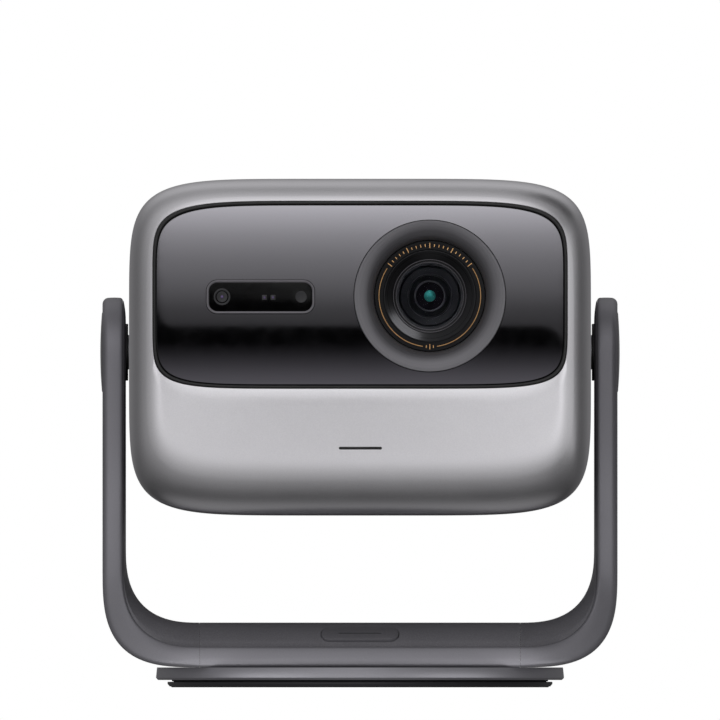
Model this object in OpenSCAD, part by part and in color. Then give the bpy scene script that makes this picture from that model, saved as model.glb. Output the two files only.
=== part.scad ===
// Home projector: a rounded optical head tilting in a U-shaped stand that turns on a round foot.
// Millimetres, +Z up. The origin is on the table, on the swivel axis, and the lens looks along -Y.

/* [Head] */
// Width of the head over its side walls
head_w = 214.4; // [205:0.2:214.6]
// Height of the head
head_h = 156.3; // [150:0.1:158]
// Distance from the swivel axis to the head's front plane
head_front = 100.3; // [96:0.1:100.3]
// Distance from the swivel axis to the head's rear plane
head_rear = 101.5; // [97:0.1:101.5]
// Wall thickness of the head's shells
head_wall = 2.4; // [2:0.1:2.6]
// Radius of the front edge of the head
front_round = 15; // [12:0.5:16]
// Radius of the rear edge of the head
rear_round = 18; // [14:0.5:20]
// Height of the tilt axis above the table
tilt_z = 155.5; // [155:0.1:156]

/* [Window and lens] */
// Width of the opening for the front window
window_w = 192.6; // [186:0.2:194]
// Height of the opening for the front window
window_h = 87.2; // [85:0.2:88]
// Width of the rubber gasket round the window
gasket_t = 1.8; // [1.4:0.1:2]
// Distance of the optical axis to the right of the centre
lens_x = 32.4; // [30:0.1:34]
// Outer radius of the lens bezel
bezel_r = 35.2; // [34:0.1:36]

/* [Stand] */
// Width of the stand over the flat outer faces of its arms
arch_w = 239; // [238.6:0.1:239.4]
// Thickness of an arm at its front edge
arm_t = 9.5; // [9.2:0.1:9.6]
// Radius of the round end of an arm
arm_r = 25.3; // [24:0.1:26]
// Depth of the stand where it crosses the base
bridge_d = 127; // [120:1:130]

/* [Base] */
// Radius of the turntable at its lower edge
table_r = 94.7; // [92:0.1:96]
// Radius of the foot
foot_r = 89.3; // [88.6:0.1:90]

/* [Hidden] */

side_fn = 96;               // points round each rounded outline
cut = 0.5;                  // how far a cutter runs past what it cuts

// Outlines of the head and of its window, as superellipses
head_power = 6.3;
window_power = 5.5;
head_z = 157.85;            // height of the middle of the head
belly = 1.35;               // how much taller the rounding is under the head than over it
window_z = 182.1;           // height of the middle of the window
lens_z = 181.6;             // height of the optical axis
split_y = 58;               // where the front shell ends
seam = 1.2;                 // thickness of the trim between the two shells

// Depths along Y of the parts in the window
glass_y = -100.4;
glass_t = 2.6;
carrier_y = -95;
carrier_t = 2.5;
bezel_front = -101.5;
ring_y = -94.6;             // front of the scale ring
barrel_y = -92.6;           // front of the lens barrel

// Sensor window
sensor_x = -46.2;
sensor_z = 181.2;
sensor_w = 50.2;
sensor_h = 15.6;
sensor_round = 5.2;
sensor_rim = 1.05;

// Focus drive: an involute ring gear and its pinion, of one module
gear_module = 0.8;
gear_teeth = 72;
pinion_teeth = 12;
gear_y = -78;
gear_w = 6;
gear_gap = gear_module * (gear_teeth + pinion_teeth) / 2;

// Stand
arch_bottom = 9.25;         // underside of the stand over the turntable
edge_h = 9.55;              // height of the flat front face over the base
crown_base = 11.25;         // rise of the crowned inner face over the base
crown_arm = 1.7;            // rise of the crowned inner face on an arm
seam_x = 74.4;              // where an arm meets the bridge
lip = 2.5;                  // thickness of the stand's side lips
floor_t = 3;                // thickness of the stand's outer wall
liner_t = 2.2;              // thickness of the liner
step = 1.5;                 // how deep the liner sits in the lips
flare_top = 102;            // where an arm starts to widen
arm_x = arch_w / 2;
edge_x = arm_x - arm_t;
crown_x = edge_x - crown_arm;

// Hinge
shaft_r = 8;
cable_r = 4.5;              // bore through the hinge shaft for the cables
bush_r = 11;
running = 0.04;             // radial clearance of a shaft in its bush
washer_r = 13.2;
cap_r = 18.6;
cap_rise = 1;
cap_t = 1.6;
plate_x = 94.5;             // outer face of the chassis side plates
plate_t = 2.5;

// Swivel
foot_top = 2.6;
table_z = 3.4;
post_r = 9;
race_in = 60;
race_out = 72;
ball_r = 1.18;
ball_z = 4.6;
ball_count = 24;
nut_z = 13.6;

// Button on the front slope of the liner
button_w = 36;
button_d = 9.4;
button_t = 3;
button_y = -56.8;
button_z = 25.15;
button_tilt = 36.7;
button_gap = 0.3;
button_end = 4.4;           // radius of its ends

// Power inlet at the back of the base
inlet_z = 13.6;
inlet_r = 3.4;

// Fans
fan_x = 44;
fan_z = 168;
fan_y = 70;
fan_t = 15;
fan_r = 35.4;

// Ports on the rear, from left to right as seen from the front
port_z = 109;
port_y = 98.2;

function squircle(a, b, n, k) = [
    for (i = [0:k - 1])
        let (t = 360 * (i + 0.5) / k, c = cos(t), s = sin(t))
            [a * sign(c) * pow(abs(c), 2 / n), b * sign(s) * pow(abs(s), 2 / n)]];

// A section of the head, shrunk by inset, and more below the middle, standing at depth y
function head_loop(y, inset, k = 72) =
    let (top = head_h / 2 - inset, low = head_h / 2 - belly * inset)
        [for (p = squircle(head_w / 2 - inset, top, head_power, k))
            [p.x, y, head_z + (p.y < 0 ? p.y * low / top : p.y)]];

// Half depth of the stand where its outer face passes p, grown by g
function half_depth(p, g = 0) =
    p.y > tilt_z ? sqrt((arm_r + g) * (arm_r + g) - (p.y - tilt_z) * (p.y - tilt_z)) :
    let (way = (arm_x - p.x + max(0, flare_top - p.y)) / (arm_x - seam_x + flare_top - arch_bottom))
        arm_r + g + (bridge_d / 2 - arm_r) * way * way * (3 - 2 * way);

// Skin between closed loops of equal length, with flat ends
module loft(loops) {
    n = len(loops);
    k = len(loops[0]);
    skin = [for (i = [0:n - 2], j = [0:k - 1])
        let (a = i * k + j, b = i * k + (j + 1) % k)
            each [[a + k, b, a], [a + k, b + k, b]]];
    first = [[for (j = [0:k - 1]) j]];
    last = [[for (j = [k - 1:-1:0]) (n - 1) * k + j]];
    polyhedron([for (l = loops) each l], concat(skin, first, last), convexity = 8);
}

// Stands a drawing made in X and Z upright, from depth y back to depth y + t
module upright(y, t) {
    translate([0, y + t, 0]) rotate([90, 0, 0]) linear_extrude(t) children();
}

// Turns a profile of [radius, depth] about a line along Y through x, z
module turned(x, z) {
    translate([x, 0, z]) rotate([-90, 0, 0]) rotate_extrude($fn = side_fn) children();
}

module rod_y(x, y, z, r, l) {
    translate([x, y, z]) rotate([-90, 0, 0]) cylinder(r = r, h = l, $fn = 64);
}

module rod_x(x, r, l) {
    translate([x, 0, tilt_z]) rotate([0, 90, 0]) cylinder(r = r, h = l, $fn = 64);
}

module ring(r_in, r_out, z, h) {
    translate([0, 0, z]) difference() {
        cylinder(r = r_out, h = h, $fn = side_fn);
        translate([0, 0, -cut]) cylinder(r = r_in, h = h + 2 * cut, $fn = side_fn);
    }
}

module pill(w, h, r) {
    square([w - 2 * r, h], center = true);
    square([w, h - 2 * r], center = true);
    for (x = [-1, 1], y = [-1, 1])
        translate([x * (w / 2 - r), y * (h / 2 - r)]) circle(r = r, $fn = 48);
}

module box_at(x0, x1, y0, y1, z0, z1) {
    translate([x0, y0, z0]) cube([x1 - x0, y1 - y0, z1 - z0]);
}

module mirrored() {
    children();
    mirror([1, 0, 0]) children();
}

// ---------------------------------------------------------------- foot

module foot_pad() color("#1c1c1e") ring(62, 87.6, 0, 1);

module foot_plate() color("#2a2a2d") difference() {
    union() {
        translate([0, 0, 0.4]) cylinder(r1 = foot_r - 1, r2 = foot_r, h = 1.2, $fn = side_fn);
        translate([0, 0, 1.6]) cylinder(r = foot_r, h = foot_top - 1.6, $fn = side_fn);
        ring(80, 86.5, foot_top - 0.1, 0.7);
        cylinder_post();
    }
    translate([0, 0, -0.1]) difference() {
        cylinder(r = 87.8, h = 1.1, $fn = side_fn);
        translate([0, 0, -cut]) cylinder(r = 61.8, h = 2.5, $fn = side_fn);
    }
    translate([0, 0, -cut]) cylinder(r = 5, h = 9.4 + cut, $fn = 96);
}

module cylinder_post() {
    translate([0, 0, 0.4]) cylinder(r = post_r, h = 18, $fn = 64);
    translate([0, 0, 0.4]) cylinder(r = 18, h = foot_top - 0.1, $fn = 64);
}

module tripod_insert() color("#b08d4c") ring(3.175, 5, 0.4, 9);

module lower_race() color("#8d9096") ring(race_in, race_out, foot_top, 0.8);

module bearing_balls() color("#c8cace")
    for (i = [0:ball_count - 1])
        rotate(360 * i / ball_count)
            translate([(race_in + race_out) / 2, 0, ball_z]) sphere(r = ball_r, $fn = 24);

module ball_cage() color("#d8d4c4") difference() {
    ring(race_in + 2, race_out - 2, ball_z - 0.5, 1);
    for (i = [0:ball_count - 1])
        rotate(360 * i / ball_count)
            translate([(race_in + race_out) / 2, 0, ball_z - 1])
                cylinder(r = ball_r + 0.1, h = 2, $fn = 24);
}

module swivel_washer() color("#9a9ca0") ring(post_r, 17, nut_z - 1.2, 1.2);

module swivel_nut() color("#85878c") difference() {
    translate([0, 0, nut_z]) cylinder(r = 15, h = 4.5, $fn = 6);
    translate([0, 0, nut_z - cut]) cylinder(r = post_r, h = 6, $fn = 64);
}

// --------------------------------------------------------------- stand

module turntable() color("#6f6e72") difference() {
    union() {
        translate([0, 0, table_z]) cylinder(r1 = table_r - 1, r2 = table_r, h = 1, $fn = side_fn);
        translate([0, 0, table_z + 1])
            cylinder(r1 = table_r, r2 = table_r - 0.5, h = arch_bottom - table_z - 1, $fn = side_fn);
    }
    ring(race_in - 2, race_out + 2, table_z - cut, ball_z + 2 - table_z + cut);
    translate([0, 0, table_z - cut]) cylinder(r = 12, h = 10, $fn = side_fn);
    translate([0, 0, table_z - cut]) cylinder(r = 19, h = cut + 0.4, $fn = 64);
}

module upper_race() color("#8d9096") ring(race_in, race_out, ball_z + 1.2, 0.8);

module swivel_bush() color("#c9a25a")
    ring(post_r + running, 12, table_z + 0.4, arch_bottom + floor_t - table_z - 0.5);

// Outer wall and lips of the stand over the base, as a section in Y and Z
module bridge_section() {
    w = bridge_d / 2;
    e = arch_bottom + edge_h;
    polygon([
        [-w, arch_bottom], [w, arch_bottom], [w, e], [w - 1.2, e - step], [w - lip, e - step],
        [w - lip, arch_bottom + floor_t], [lip - w, arch_bottom + floor_t],
        [lip - w, e - step], [1.2 - w, e - step], [-w, e]]);
}

module along_x(x0, x1) {
    translate([x0, 0, 0]) rotate([90, 0, 90]) linear_extrude(x1 - x0) children();
}

module base_bridge() color("#6f6e72") difference() {
    along_x(-seam_x, seam_x) bridge_section();
    translate([0, 0, arch_bottom - cut]) cylinder(r = 12, h = 6, $fn = side_fn);
    rod_y(0, bridge_d / 2 - lip - cut, inlet_z, inlet_r + 0.05, lip + 2 * cut);
    box_at(-4.65, 4.65, 46.9, bridge_d / 2 - lip, inlet_z - 3.6, 14);
}

// Corner of the stand: a quarter superellipse from an arm at face_x down to height low
function corner(face_x, low, n, t) =
    [seam_x + (face_x - seam_x) * pow(cos(t), 2 / n),
     low + (face_x - seam_x) * (1 - pow(sin(t), 2 / n))];

corner_steps = 14;
corner_ts = [for (i = [0:corner_steps]) 90 * i / corner_steps];
function outer_pt(t) = corner(arm_x, arch_bottom, 3.05, t);
function edge_pt(t) = corner(edge_x, arch_bottom + edge_h, 2.55, t);
function crown_pt(t) = corner(crown_x, arch_bottom + edge_h + crown_base, 2.6, t);

// Stations down the right arm and round its corner: outer, edge and crown points in X and Z
stations = concat(
    [for (z = [flare_top:-6:65]) [[arm_x, z], [edge_x, z], [crown_x, z]]],
    [for (t = corner_ts) [outer_pt(t), edge_pt(t), crown_pt(t)]]);
liner_tops = [for (h = [23, 20.5, 16.5, 11, 5, 0])
    [[arm_x, tilt_z + h], [edge_x, tilt_z + h], [crown_x, tilt_z + h]]];

function spot(p, y) = [p.x, y, p.y];
function between(a, b, f) = a + (b - a) * f;

// One loop of the lipped channel; the first cap corner is a star point of the section
function channel_loop(s) =
    let (o = s[0], e = s[1], w = half_depth(o),
         l = between(e, o, step / norm(o - e)), f = between(o, e, floor_t / norm(o - e)))
        [spot(o, -w), spot(e, -w), spot(l, 1.2 - w), spot(l, lip - w), spot(f, lip - w),
         spot(f, w - lip), spot(l, w - lip), spot(l, w - 1.2), spot(e, w), spot(o, w)];

liner_half = [1, 0.94, 0.86, 0.77, 0.66, 0.5];
liner_ys = concat([for (f = liner_half) -f], [0], [for (i = [5:-1:0]) liner_half[i]]);
function crown_share(d, w) = let (b = w > 40 ? 20 : w * 0.45) 1 - pow(max(0, 1 - d / b), 2);

// Inner and outer face of the liner across the depth, at one station
function liner_loop(s) =
    let (o = s[0], e = s[1], c = s[2], w = half_depth(o), wl = half_depth(o, -1.25),
         n = (e - o) / norm(e - o), last = len(liner_ys) - 1)
        concat(
            [for (f = liner_ys) spot(e + (c - e) * crown_share(w * (1 - abs(f)), w), f * w)],
            [for (i = [last:-1:0])
                let (f = liner_ys[i], share = crown_share(w * (1 - abs(f)), w))
                    spot(i < 2 || i > last - 2 ? e - n * step :
                        e + (c - e) * share - n * liner_t, f * wl)]);

module sweep(loops, cap) {
    n = len(loops);
    k = len(loops[0]);
    skin = [for (i = [0:n - 2], j = [0:k - 1])
        let (a = i * k + j, b = i * k + (j + 1) % k)
            each [[a, a + k, b], [b, a + k, b + k]]];
    first = cap;
    last = [for (f = cap) [for (v = [2, 1, 0]) f[v] + (n - 1) * k]];
    polyhedron([for (l = loops) each l], concat(skin, first, last), convexity = 8);
}

channel_cap = [[0, 1, 2], [0, 2, 3], [0, 3, 4], [0, 4, 5], [0, 5, 9], [9, 5, 6], [9, 6, 7],
    [9, 7, 8]];
liner_last = 2 * len(liner_ys) - 1;
liner_cap = [for (i = [0:len(liner_ys) - 2])
    each [[i, i + 1, liner_last - i], [i + 1, liner_last - i - 1, liner_last - i]]];

// Side view of an arm from height low up, grown by g
module arm_outline(g = 0, low = flare_top) {
    translate([0, tilt_z]) circle(r = arm_r + g, $fn = 128);
    translate([-arm_r - g, low]) square([2 * (arm_r + g), tilt_z - low]);
}

module right_arm_body() difference() {
    union() {
        sweep([for (s = stations) channel_loop(s)], channel_cap);
        difference() {
            along_x(edge_x, arm_x) arm_outline();
            along_x(edge_x - cut, arm_x - floor_t) arm_outline(-lip, flare_top - cut);
            hull() {
                along_x(edge_x - cut, edge_x) arm_outline(0, flare_top - cut);
                along_x(edge_x + step - 0.01, edge_x + step) arm_outline(-1.2, flare_top - cut);
            }
        }
        rod_x(edge_x + step + 0.2, cap_r + 1, arm_t - step - 1);
        rod_x(edge_x + 0.4, washer_r, arm_t - 1);
    }
    rod_x(edge_x - cut, bush_r, 20);
    rod_x(arm_x - cap_t, cap_r + 0.1, 5);
    rod_x(arm_x - cap_t - 1.6, 14.5, 5);
}

module right_arm() color("#6f6e72") right_arm_body();
module left_arm() color("#6f6e72") mirror([1, 0, 0]) right_arm_body();

module base_liner() color("#5d5c60") difference() {
    along_x(-seam_x, seam_x) polygon([
        for (p = liner_loop(stations[len(stations) - 1])) [p.y, p.z]]);
    button_place() linear_extrude(16, center = true)
        pill(button_w + 2 * button_gap, button_d + 2 * button_gap, button_end + button_gap);
}

module right_liner_body() difference() {
    sweep([for (s = concat(liner_tops, stations)) liner_loop(s)], liner_cap);
    rod_x(crown_x - cut, washer_r + 0.1, 10);
}

module right_liner() color("#5d5c60") right_liner_body();
module left_liner() color("#5d5c60") mirror([1, 0, 0]) right_liner_body();

module dc_inlet() color("#1f1f21") {
    difference() {
        union() {
            rod_y(0, bridge_d / 2 - lip - 0.1, inlet_z, inlet_r, lip - 0.1);
            box_at(-4.6, 4.6, 47, bridge_d / 2 - lip, inlet_z - 3.5, inlet_z + 3.5);
        }
        rod_y(0, 50, inlet_z, 2.9, 20);
    }
    rod_y(0, 49, inlet_z, 1.2, 11);
}

// Puts a drawing made in X and Y on the sloping face where the button sits
module button_place() {
    translate([0, button_y, button_z]) rotate([button_tilt, 0, 0]) children();
}

module button_board() color("#2f5d3a") button_place() {
    translate([-16, -4, -7.6]) cube([32, 8, 1.2]);
    translate([-3, -3, -6.4]) cube([6, 6, 1.6]);
}

module power_button() color("#5d5c60") button_place() {
    difference() {
        translate([0, 0, -button_t]) linear_extrude(button_t) pill(button_w, button_d, button_end);
        translate([-10.1, -0.4, -0.5]) cube([20.2, 0.8, 2]);
    }
    translate([-1.5, -1.5, -button_t - 0.4]) cube([3, 3, 0.6]);
}

module hinge_bushes() color("#c9a25a") mirrored() difference() {
    rod_x(edge_x + 0.4, bush_r, arm_t - cap_t - 2.1);
    rod_x(edge_x - cut, shaft_r + running, 20);
}

module hinge_washers() color("#161617") mirrored() difference() {
    rod_x(head_w / 2 + 0.35, washer_r, edge_x + 0.4 - head_w / 2 - 0.35);
    rod_x(head_w / 2, shaft_r + 0.3, 10);
}

module hinge_caps() color("#77767a") mirrored() translate([0, 0, tilt_z]) rotate([0, 90, 0])
    rotate_extrude($fn = side_fn) polygon(concat(
        [[0, arm_x - cap_t], [cap_r, arm_x - cap_t]],
        [for (i = [0:6])
            let (a = 90 * i / 6)
                [cap_r * cos(a), arm_x + cap_rise * sin(a)]]));

// ---------------------------------------------------------------- head

round_steps = 6;

// Cup between an outer and an inner skin. side is -1 for the front and 1 for the rear
module shell_cup(side, split, plane, r) {
    outer = [for (i = [round_steps:-1:0])
        let (t = 90 * i / round_steps)
            head_loop(side * (plane - r + r * sin(t)), r * (1 - cos(t)))];
    ri = r - head_wall;
    inner = [for (i = [0:round_steps])
        let (t = 90 * i / round_steps)
            head_loop(side * (plane - r + ri * sin(t)), head_wall + ri * (1 - cos(t)))];
    loops = concat(outer, [head_loop(split, 0)], [head_loop(split, head_wall)], inner);
    if (side < 0) loft(loops);
    else loft([for (l = loops) [for (i = [len(l) - 1:-1:0]) l[i]]]);
}

module window_outline(g) {
    translate([0, window_z])
        polygon(squircle(window_w / 2 + g, window_h / 2 + g, window_power, side_fn));
}

module front_shell() color("#a9a7aa") difference() {
    shell_cup(-1, split_y, head_front, front_round);
    upright(-head_front - 5, 12) window_outline(0);
    rod_x(-120, shaft_r + 0.5, 240);
}

grille_a = 86;
grille_b = 58;
module grille_outline(g) {
    translate([0, head_z]) polygon(squircle(grille_a + g, grille_b + g, head_power, side_fn));
}

module rear_shell() color("#4a494c") difference() {
    shell_cup(1, split_y + seam, head_rear, rear_round);
    upright(head_rear - 8, 12) grille_outline(0);
}

module seam_trim() color("#161617") upright(split_y, seam) difference() {
    translate([0, head_z]) polygon(squircle(head_w / 2 - 0.8, head_h / 2 - 0.8, head_power, side_fn));
    translate([0, head_z])
        polygon(squircle(head_w / 2 - head_wall, head_h / 2 - head_wall, head_power, side_fn));
}

slot_w = 2.2;
slot_pitch = 4.6;
module rear_grille() color("#2b2b2e") difference() {
    upright(head_rear - 3, 2.4) grille_outline(-0.15);
    for (i = [-16:16], side = [0, 1])
        translate([i * slot_pitch, head_rear, side ? 191 : 149])
            cube([slot_w, 12, 38], center = true);
    upright(head_rear - 8, 12) port_outlines(0.4);
}

// Faces of the ports in X and Z: two HDMI, one USB and an audio jack
module port_outlines(g) {
    for (x = [-31, -9]) translate([x, port_z]) square([15.2 + 2 * g, 6.2 + 2 * g], center = true);
    translate([13, port_z]) square([14.6 + 2 * g, 7 + 2 * g], center = true);
    translate([32, port_z]) circle(r = 3.8 + g, $fn = 48);
}

module glass_gasket() color("#141416") upright(-100, 4.5) difference() {
    window_outline(-0.1);
    window_outline(-gasket_t);
}

module sensor_outline(g) {
    translate([sensor_x, sensor_z]) pill(sensor_w + 2 * g, sensor_h + 2 * g, sensor_round + g);
}

module front_glass() color("#0b0b0d") upright(glass_y, glass_t) difference() {
    window_outline(-gasket_t - 0.1);
    translate([lens_x, lens_z]) circle(r = bezel_r + 0.3, $fn = 128);
    sensor_outline(0.15);
}

module window_carrier() color("#202022") difference() {
    union() {
        upright(carrier_y, carrier_t) window_outline(2.4);
        upright(glass_y + glass_t, carrier_y - glass_y - glass_t) window_outline(-gasket_t - 0.1);
    }
    rod_y(lens_x, -110, lens_z, bezel_r + 0.3, 110 + carrier_y);
    rod_y(lens_x, carrier_y - cut, lens_z, 31, 6);
    upright(-110, 20) translate([0, 0]) sensor_outline(-sensor_rim);
    upright(-110, 110 + carrier_y) sensor_outline(0.15);
}

module sensor_bezel() color("#3a393c") difference() {
    upright(glass_y - 0.15, carrier_y - glass_y + 0.15) sensor_outline(0);
    upright(glass_y - 2, 2.9) sensor_outline(-sensor_rim);
    upright(glass_y, 10) sensor_outline(-sensor_rim - 1);
}

module sensor_window() color("#0b0b0d")
    upright(glass_y + 0.9 - 0.9 + 0.1, 0.8) sensor_outline(-sensor_rim - 0.05);

module camera_module() color("#19191b") {
    difference() {
        rod_y(sensor_x - 17.8, glass_y + 1.2, sensor_z, 3.9, 4.4);
        rod_y(sensor_x - 17.8, glass_y + 1.1, sensor_z, 2.3, 1);
    }
    box_at(sensor_x - 22.3, sensor_x - 13.3, glass_y + 5.6, glass_y + 10, sensor_z - 4.5, sensor_z + 4.5);
}

module range_sensor() color("#19191b") {
    for (x = [-2, 2])
        rod_y(sensor_x + 3.9 + x, glass_y + 2.4, sensor_z, 1.2, 3.2);
    rod_y(sensor_x + 18.9, glass_y + 2.4, sensor_z, 2.7, 3.2);
    box_at(sensor_x - 1, sensor_x + 22, glass_y + 5.6, glass_y + 8, sensor_z - 4.5, sensor_z + 4.5);
}

module lens_bezel() color("#5b5a5e") turned(lens_x, lens_z) polygon([
    [bezel_r, carrier_y - 0.1], [bezel_r, bezel_front + 0.3], [bezel_r - 0.3, bezel_front],
    [bezel_r - 1, bezel_front], [32, bezel_front + 0.3], [29.7, bezel_front + 1.15],
    [27.8, bezel_front + 2.8], [26.6, bezel_front + 5.1], [26, ring_y - 0.1],
    [26, barrel_y], [30.8, barrel_y], [30.8, carrier_y - 0.1]]);

module scale_ring() color("#0d0d0e") turned(lens_x, lens_z) difference() {
    translate([21.4, ring_y]) square([4.4, 2]);
    translate([23.4, ring_y - 0.2]) square([0.4, 0.4]);
}

module accent_ring() color("#c8955a") turned(lens_x, lens_z)
    translate([23.4, ring_y]) square([0.4, 0.2]);

module lens_barrel() color("#242426") turned(lens_x, lens_z) polygon([
    [19, barrel_y], [25.8, barrel_y], [25.8, barrel_y + 2], [22, barrel_y + 2], [22, -40],
    [19, -40]]);

module front_cell() color("#2f2f31") turned(lens_x, lens_z) polygon([
    [20.9, ring_y + 0.1], [21.3, ring_y + 0.1], [21.3, barrel_y], [18.9, barrel_y],
    [18.9, -84], [14.6, -84], [14.6, -86], [15.8, -86], [15.8, -91.4], [17.2, -91.4]]);

module front_element() color("#26303a") intersection() {
    rod_y(lens_x, -95, lens_z, 15.7, 9);
    translate([lens_x, -90.6 + 34, lens_z]) sphere(r = 34, $fn = 96);
}

module inner_sleeve() color("#1a1a1c") difference() {
    rod_y(lens_x, -83.9, lens_z, 18.8, 18);
    turned(lens_x, lens_z) polygon([[0, -90], [14, -90], [14, -83.9], [10, -77], [10, -74], [7.4, -74],
        [7.4, -60], [0, -60]]);
}

function inv(a) = tan(a) * 180 / PI - a;

// Right-hand flank of an involute tooth, as [radius, angle from the tooth's middle]
function flank(teeth, play, root, tip) =
    let (rp = gear_module * teeth / 2, rb = rp * cos(20), low = max(rb, root))
        [for (i = [0:5])
            let (r = low + (tip - low) * i / 5)
                [r, 90 / teeth - play + inv(20) - inv(acos(min(1, rb / r)))]];

module gear_outline(teeth, phase, play) {
    rp = gear_module * teeth / 2;
    root = rp - 1.15 * gear_module;
    tip = rp + 0.8 * gear_module;
    side = concat([[root, flank(teeth, play, root, tip)[0][1]]], flank(teeth, play, root, tip));
    polygon([for (i = [0:teeth - 1])
        let (mid = phase + 360 * i / teeth)
            each concat(
                [for (p = side) [p[0] * cos(mid - p[1]), p[0] * sin(mid - p[1])]],
                [for (j = [len(side) - 1:-1:0])
                    [side[j][0] * cos(mid + side[j][1]), side[j][0] * sin(mid + side[j][1])]])]);
}

module focus_gear() color("#d8d4c4") upright(gear_y, gear_w) translate([lens_x, lens_z]) difference() {
    gear_outline(gear_teeth, -90, 0.09);
    circle(r = 22 + running, $fn = side_fn);
}

module focus_pinion() color("#b08d4c") difference() {
    upright(gear_y, gear_w) translate([lens_x, lens_z - gear_gap])
        gear_outline(pinion_teeth, 90 + 180 / pinion_teeth, 0.5);
    rod_y(lens_x, gear_y - cut, lens_z - gear_gap, 1, gear_w + 2 * cut);
}

module focus_motor() color("#8d9096") {
    rod_y(lens_x, gear_y + gear_w + 0.5, lens_z - gear_gap, 5.8, 16);
    rod_y(lens_x, gear_y - 0.5, lens_z - gear_gap, 1 - running, 8);
}

module focus_cell() color("#242426") difference() {
    rod_y(lens_x, -60, lens_z, 19 - running, 15);
    rod_y(lens_x, -60 - cut, lens_z, 8, 3);
    rod_y(lens_x, -50, lens_z, 12, 8);
}

module engine_housing() color("#9a9ca0") difference() {
    box_at(-8, 72, -39.9, 20, 150, 212);
    box_at(-5, 69, -36.9, 17, 153, 213);
    rod_y(lens_x, -45, lens_z, 14, 12);
}

module imager_board() color("#2f5d3a") {
    box_at(10, 56, 20, 21.6, 160, 205);
    box_at(24, 42, 21.6, 24, 174, 190);
}

module laser_module() color("#8a6a48") {
    box_at(-72, -12, -34, 10, 158, 206);
    for (x = [-60, -42, -24]) rod_y(x, 10, 182, 3, 18);
}

module heat_sink() color("#b4b6ba") {
    box_at(-84, 84, 28, 31, 142, 214);
    for (i = [-16:16]) box_at(i * 5 - 0.6, i * 5 + 0.6, 31, 66, 142, 214);
}

module fan_frames() color("#1f1f21") mirrored() difference() {
    box_at(fan_x - 38, fan_x + 38, fan_y, fan_y + fan_t, fan_z - 38, fan_z + 38);
    rod_y(fan_x, fan_y - cut, fan_z, fan_r + 0.8, fan_t - 2 + cut);
    difference() {
        rod_y(fan_x, fan_y, fan_z, fan_r + 0.8, fan_t + cut);
        rod_y(fan_x, fan_y, fan_z, 15, fan_t + cut);
        for (a = [0:90:270]) translate([fan_x, fan_y + fan_t / 2, fan_z]) rotate([0, 45 + a, 0])
            translate([0, -20, -1.5]) cube([50, 40, 3]);
    }
}

module fan_rotor(x) {
    rod_y(x, fan_y + 0.6, fan_z, 14, fan_t - 3.2);
    for (a = [0:360 / 9:359])
        translate([x, fan_y + 6.6, fan_z]) rotate([0, a, 0]) translate([13.5, 0, 0]) rotate([38, 0, 0])
            translate([0, -0.7, -6.4]) cube([fan_r - 14.4, 1.4, 12.8]);
}

module left_fan_rotor() color("#2b2b2e") fan_rotor(-fan_x);
module right_fan_rotor() color("#2b2b2e") fan_rotor(fan_x);

module speakers() color("#1f1f21") mirrored() {
    difference() {
        box_at(52, 88, -82, -38, 98, 142);
        translate([88.1, -60, 120]) rotate([0, -90, 0]) cylinder(r1 = 17, r2 = 8, h = 9, $fn = 64);
    }
    translate([80, -60, 120]) rotate([0, 90, 0]) cylinder(r1 = 6, r2 = 4, h = 3, $fn = 48);
}

module main_board() color("#2f5d3a") {
    box_at(-46, 46, -62, 55, 97, 98.6);
    box_at(-16, 16, -30, 2, 98.6, 108);
    for (x = [-34, 28], y = [-50, 20]) box_at(x, x + 10, y, y + 14, 98.6, 101);
    for (x = [-42, 42], y = [-58, 50]) translate([x, y, 94]) cylinder(r = 2.5, h = 3, $fn = 32);
}

module port_block() color("#3c3c40") difference() {
    union() {
        box_at(-44, 44, 66, 98, 103.6, 105.2);
        for (x = [-31, -9]) box_at(x - 7.6, x + 7.6, 86, port_y, 105.2, port_z + 3.1);
        box_at(13 - 7.3, 13 + 7.3, 84, port_y, 105.2, port_z + 3.5);
    }
    for (x = [-31, -9]) box_at(x - 7, x + 7, 88, 110, port_z - 2.3, port_z + 2.5);
    box_at(13 - 6.6, 13 + 6.6, 86, 110, port_z - 2.6, port_z + 2.9);
}

module audio_jack() color("#1f1f21") difference() {
    union() {
        rod_y(32, 94, port_z, 3.7, port_y - 94);
        box_at(28.3, 35.7, 82, 94, 105.3, port_z + 3.7);
    }
    rod_y(32, 84, port_z, 1.8, 20);
}

module chassis() color("#9a9ca0") difference() {
    union() {
        box_at(-plate_x, plate_x, -70, 60, 92, 94);
        mirrored() box_at(plate_x - plate_t, plate_x, -35, 35, 92, 212);
    }
    rod_x(-100, shaft_r - 0.5, 200);
    mirrored() screw_places() cylinder(r = 1.55, h = 20, center = true, $fn = 32);
}

// The four screws of a hinge flange, each drawn upright from the flange's inner face
module screw_places() {
    for (a = [45:90:315])
        translate([plate_x, 11.5 * cos(a), tilt_z + 11.5 * sin(a)]) rotate([0, 90, 0]) children();
}

module right_shaft_body() difference() {
    union() {
        rod_x(plate_x, 15, 3.5);
        rod_x(plate_x, shaft_r, arm_x - cap_t - 1.3 - plate_x);
    }
    rod_x(plate_x - cut, cable_r, 40);
    screw_places() cylinder(r = 1.55, h = 20, center = true, $fn = 32);
}

module shaft_screws() color("#85878c") mirrored() screw_places() {
    translate([0, 0, -plate_t]) cylinder(r = 1.5, h = plate_t + 3.5, $fn = 32);
    translate([0, 0, 3.5]) difference() {
        cylinder(r = 2.7, h = 1.8, $fn = 32);
        translate([0, 0, 0.8]) cylinder(r = 1.4, h = 2, $fn = 6);
    }
}

module right_hinge_shaft() color("#9a9ca0") right_shaft_body();
module left_hinge_shaft() color("#9a9ca0") mirror([1, 0, 0]) right_shaft_body();

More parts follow.
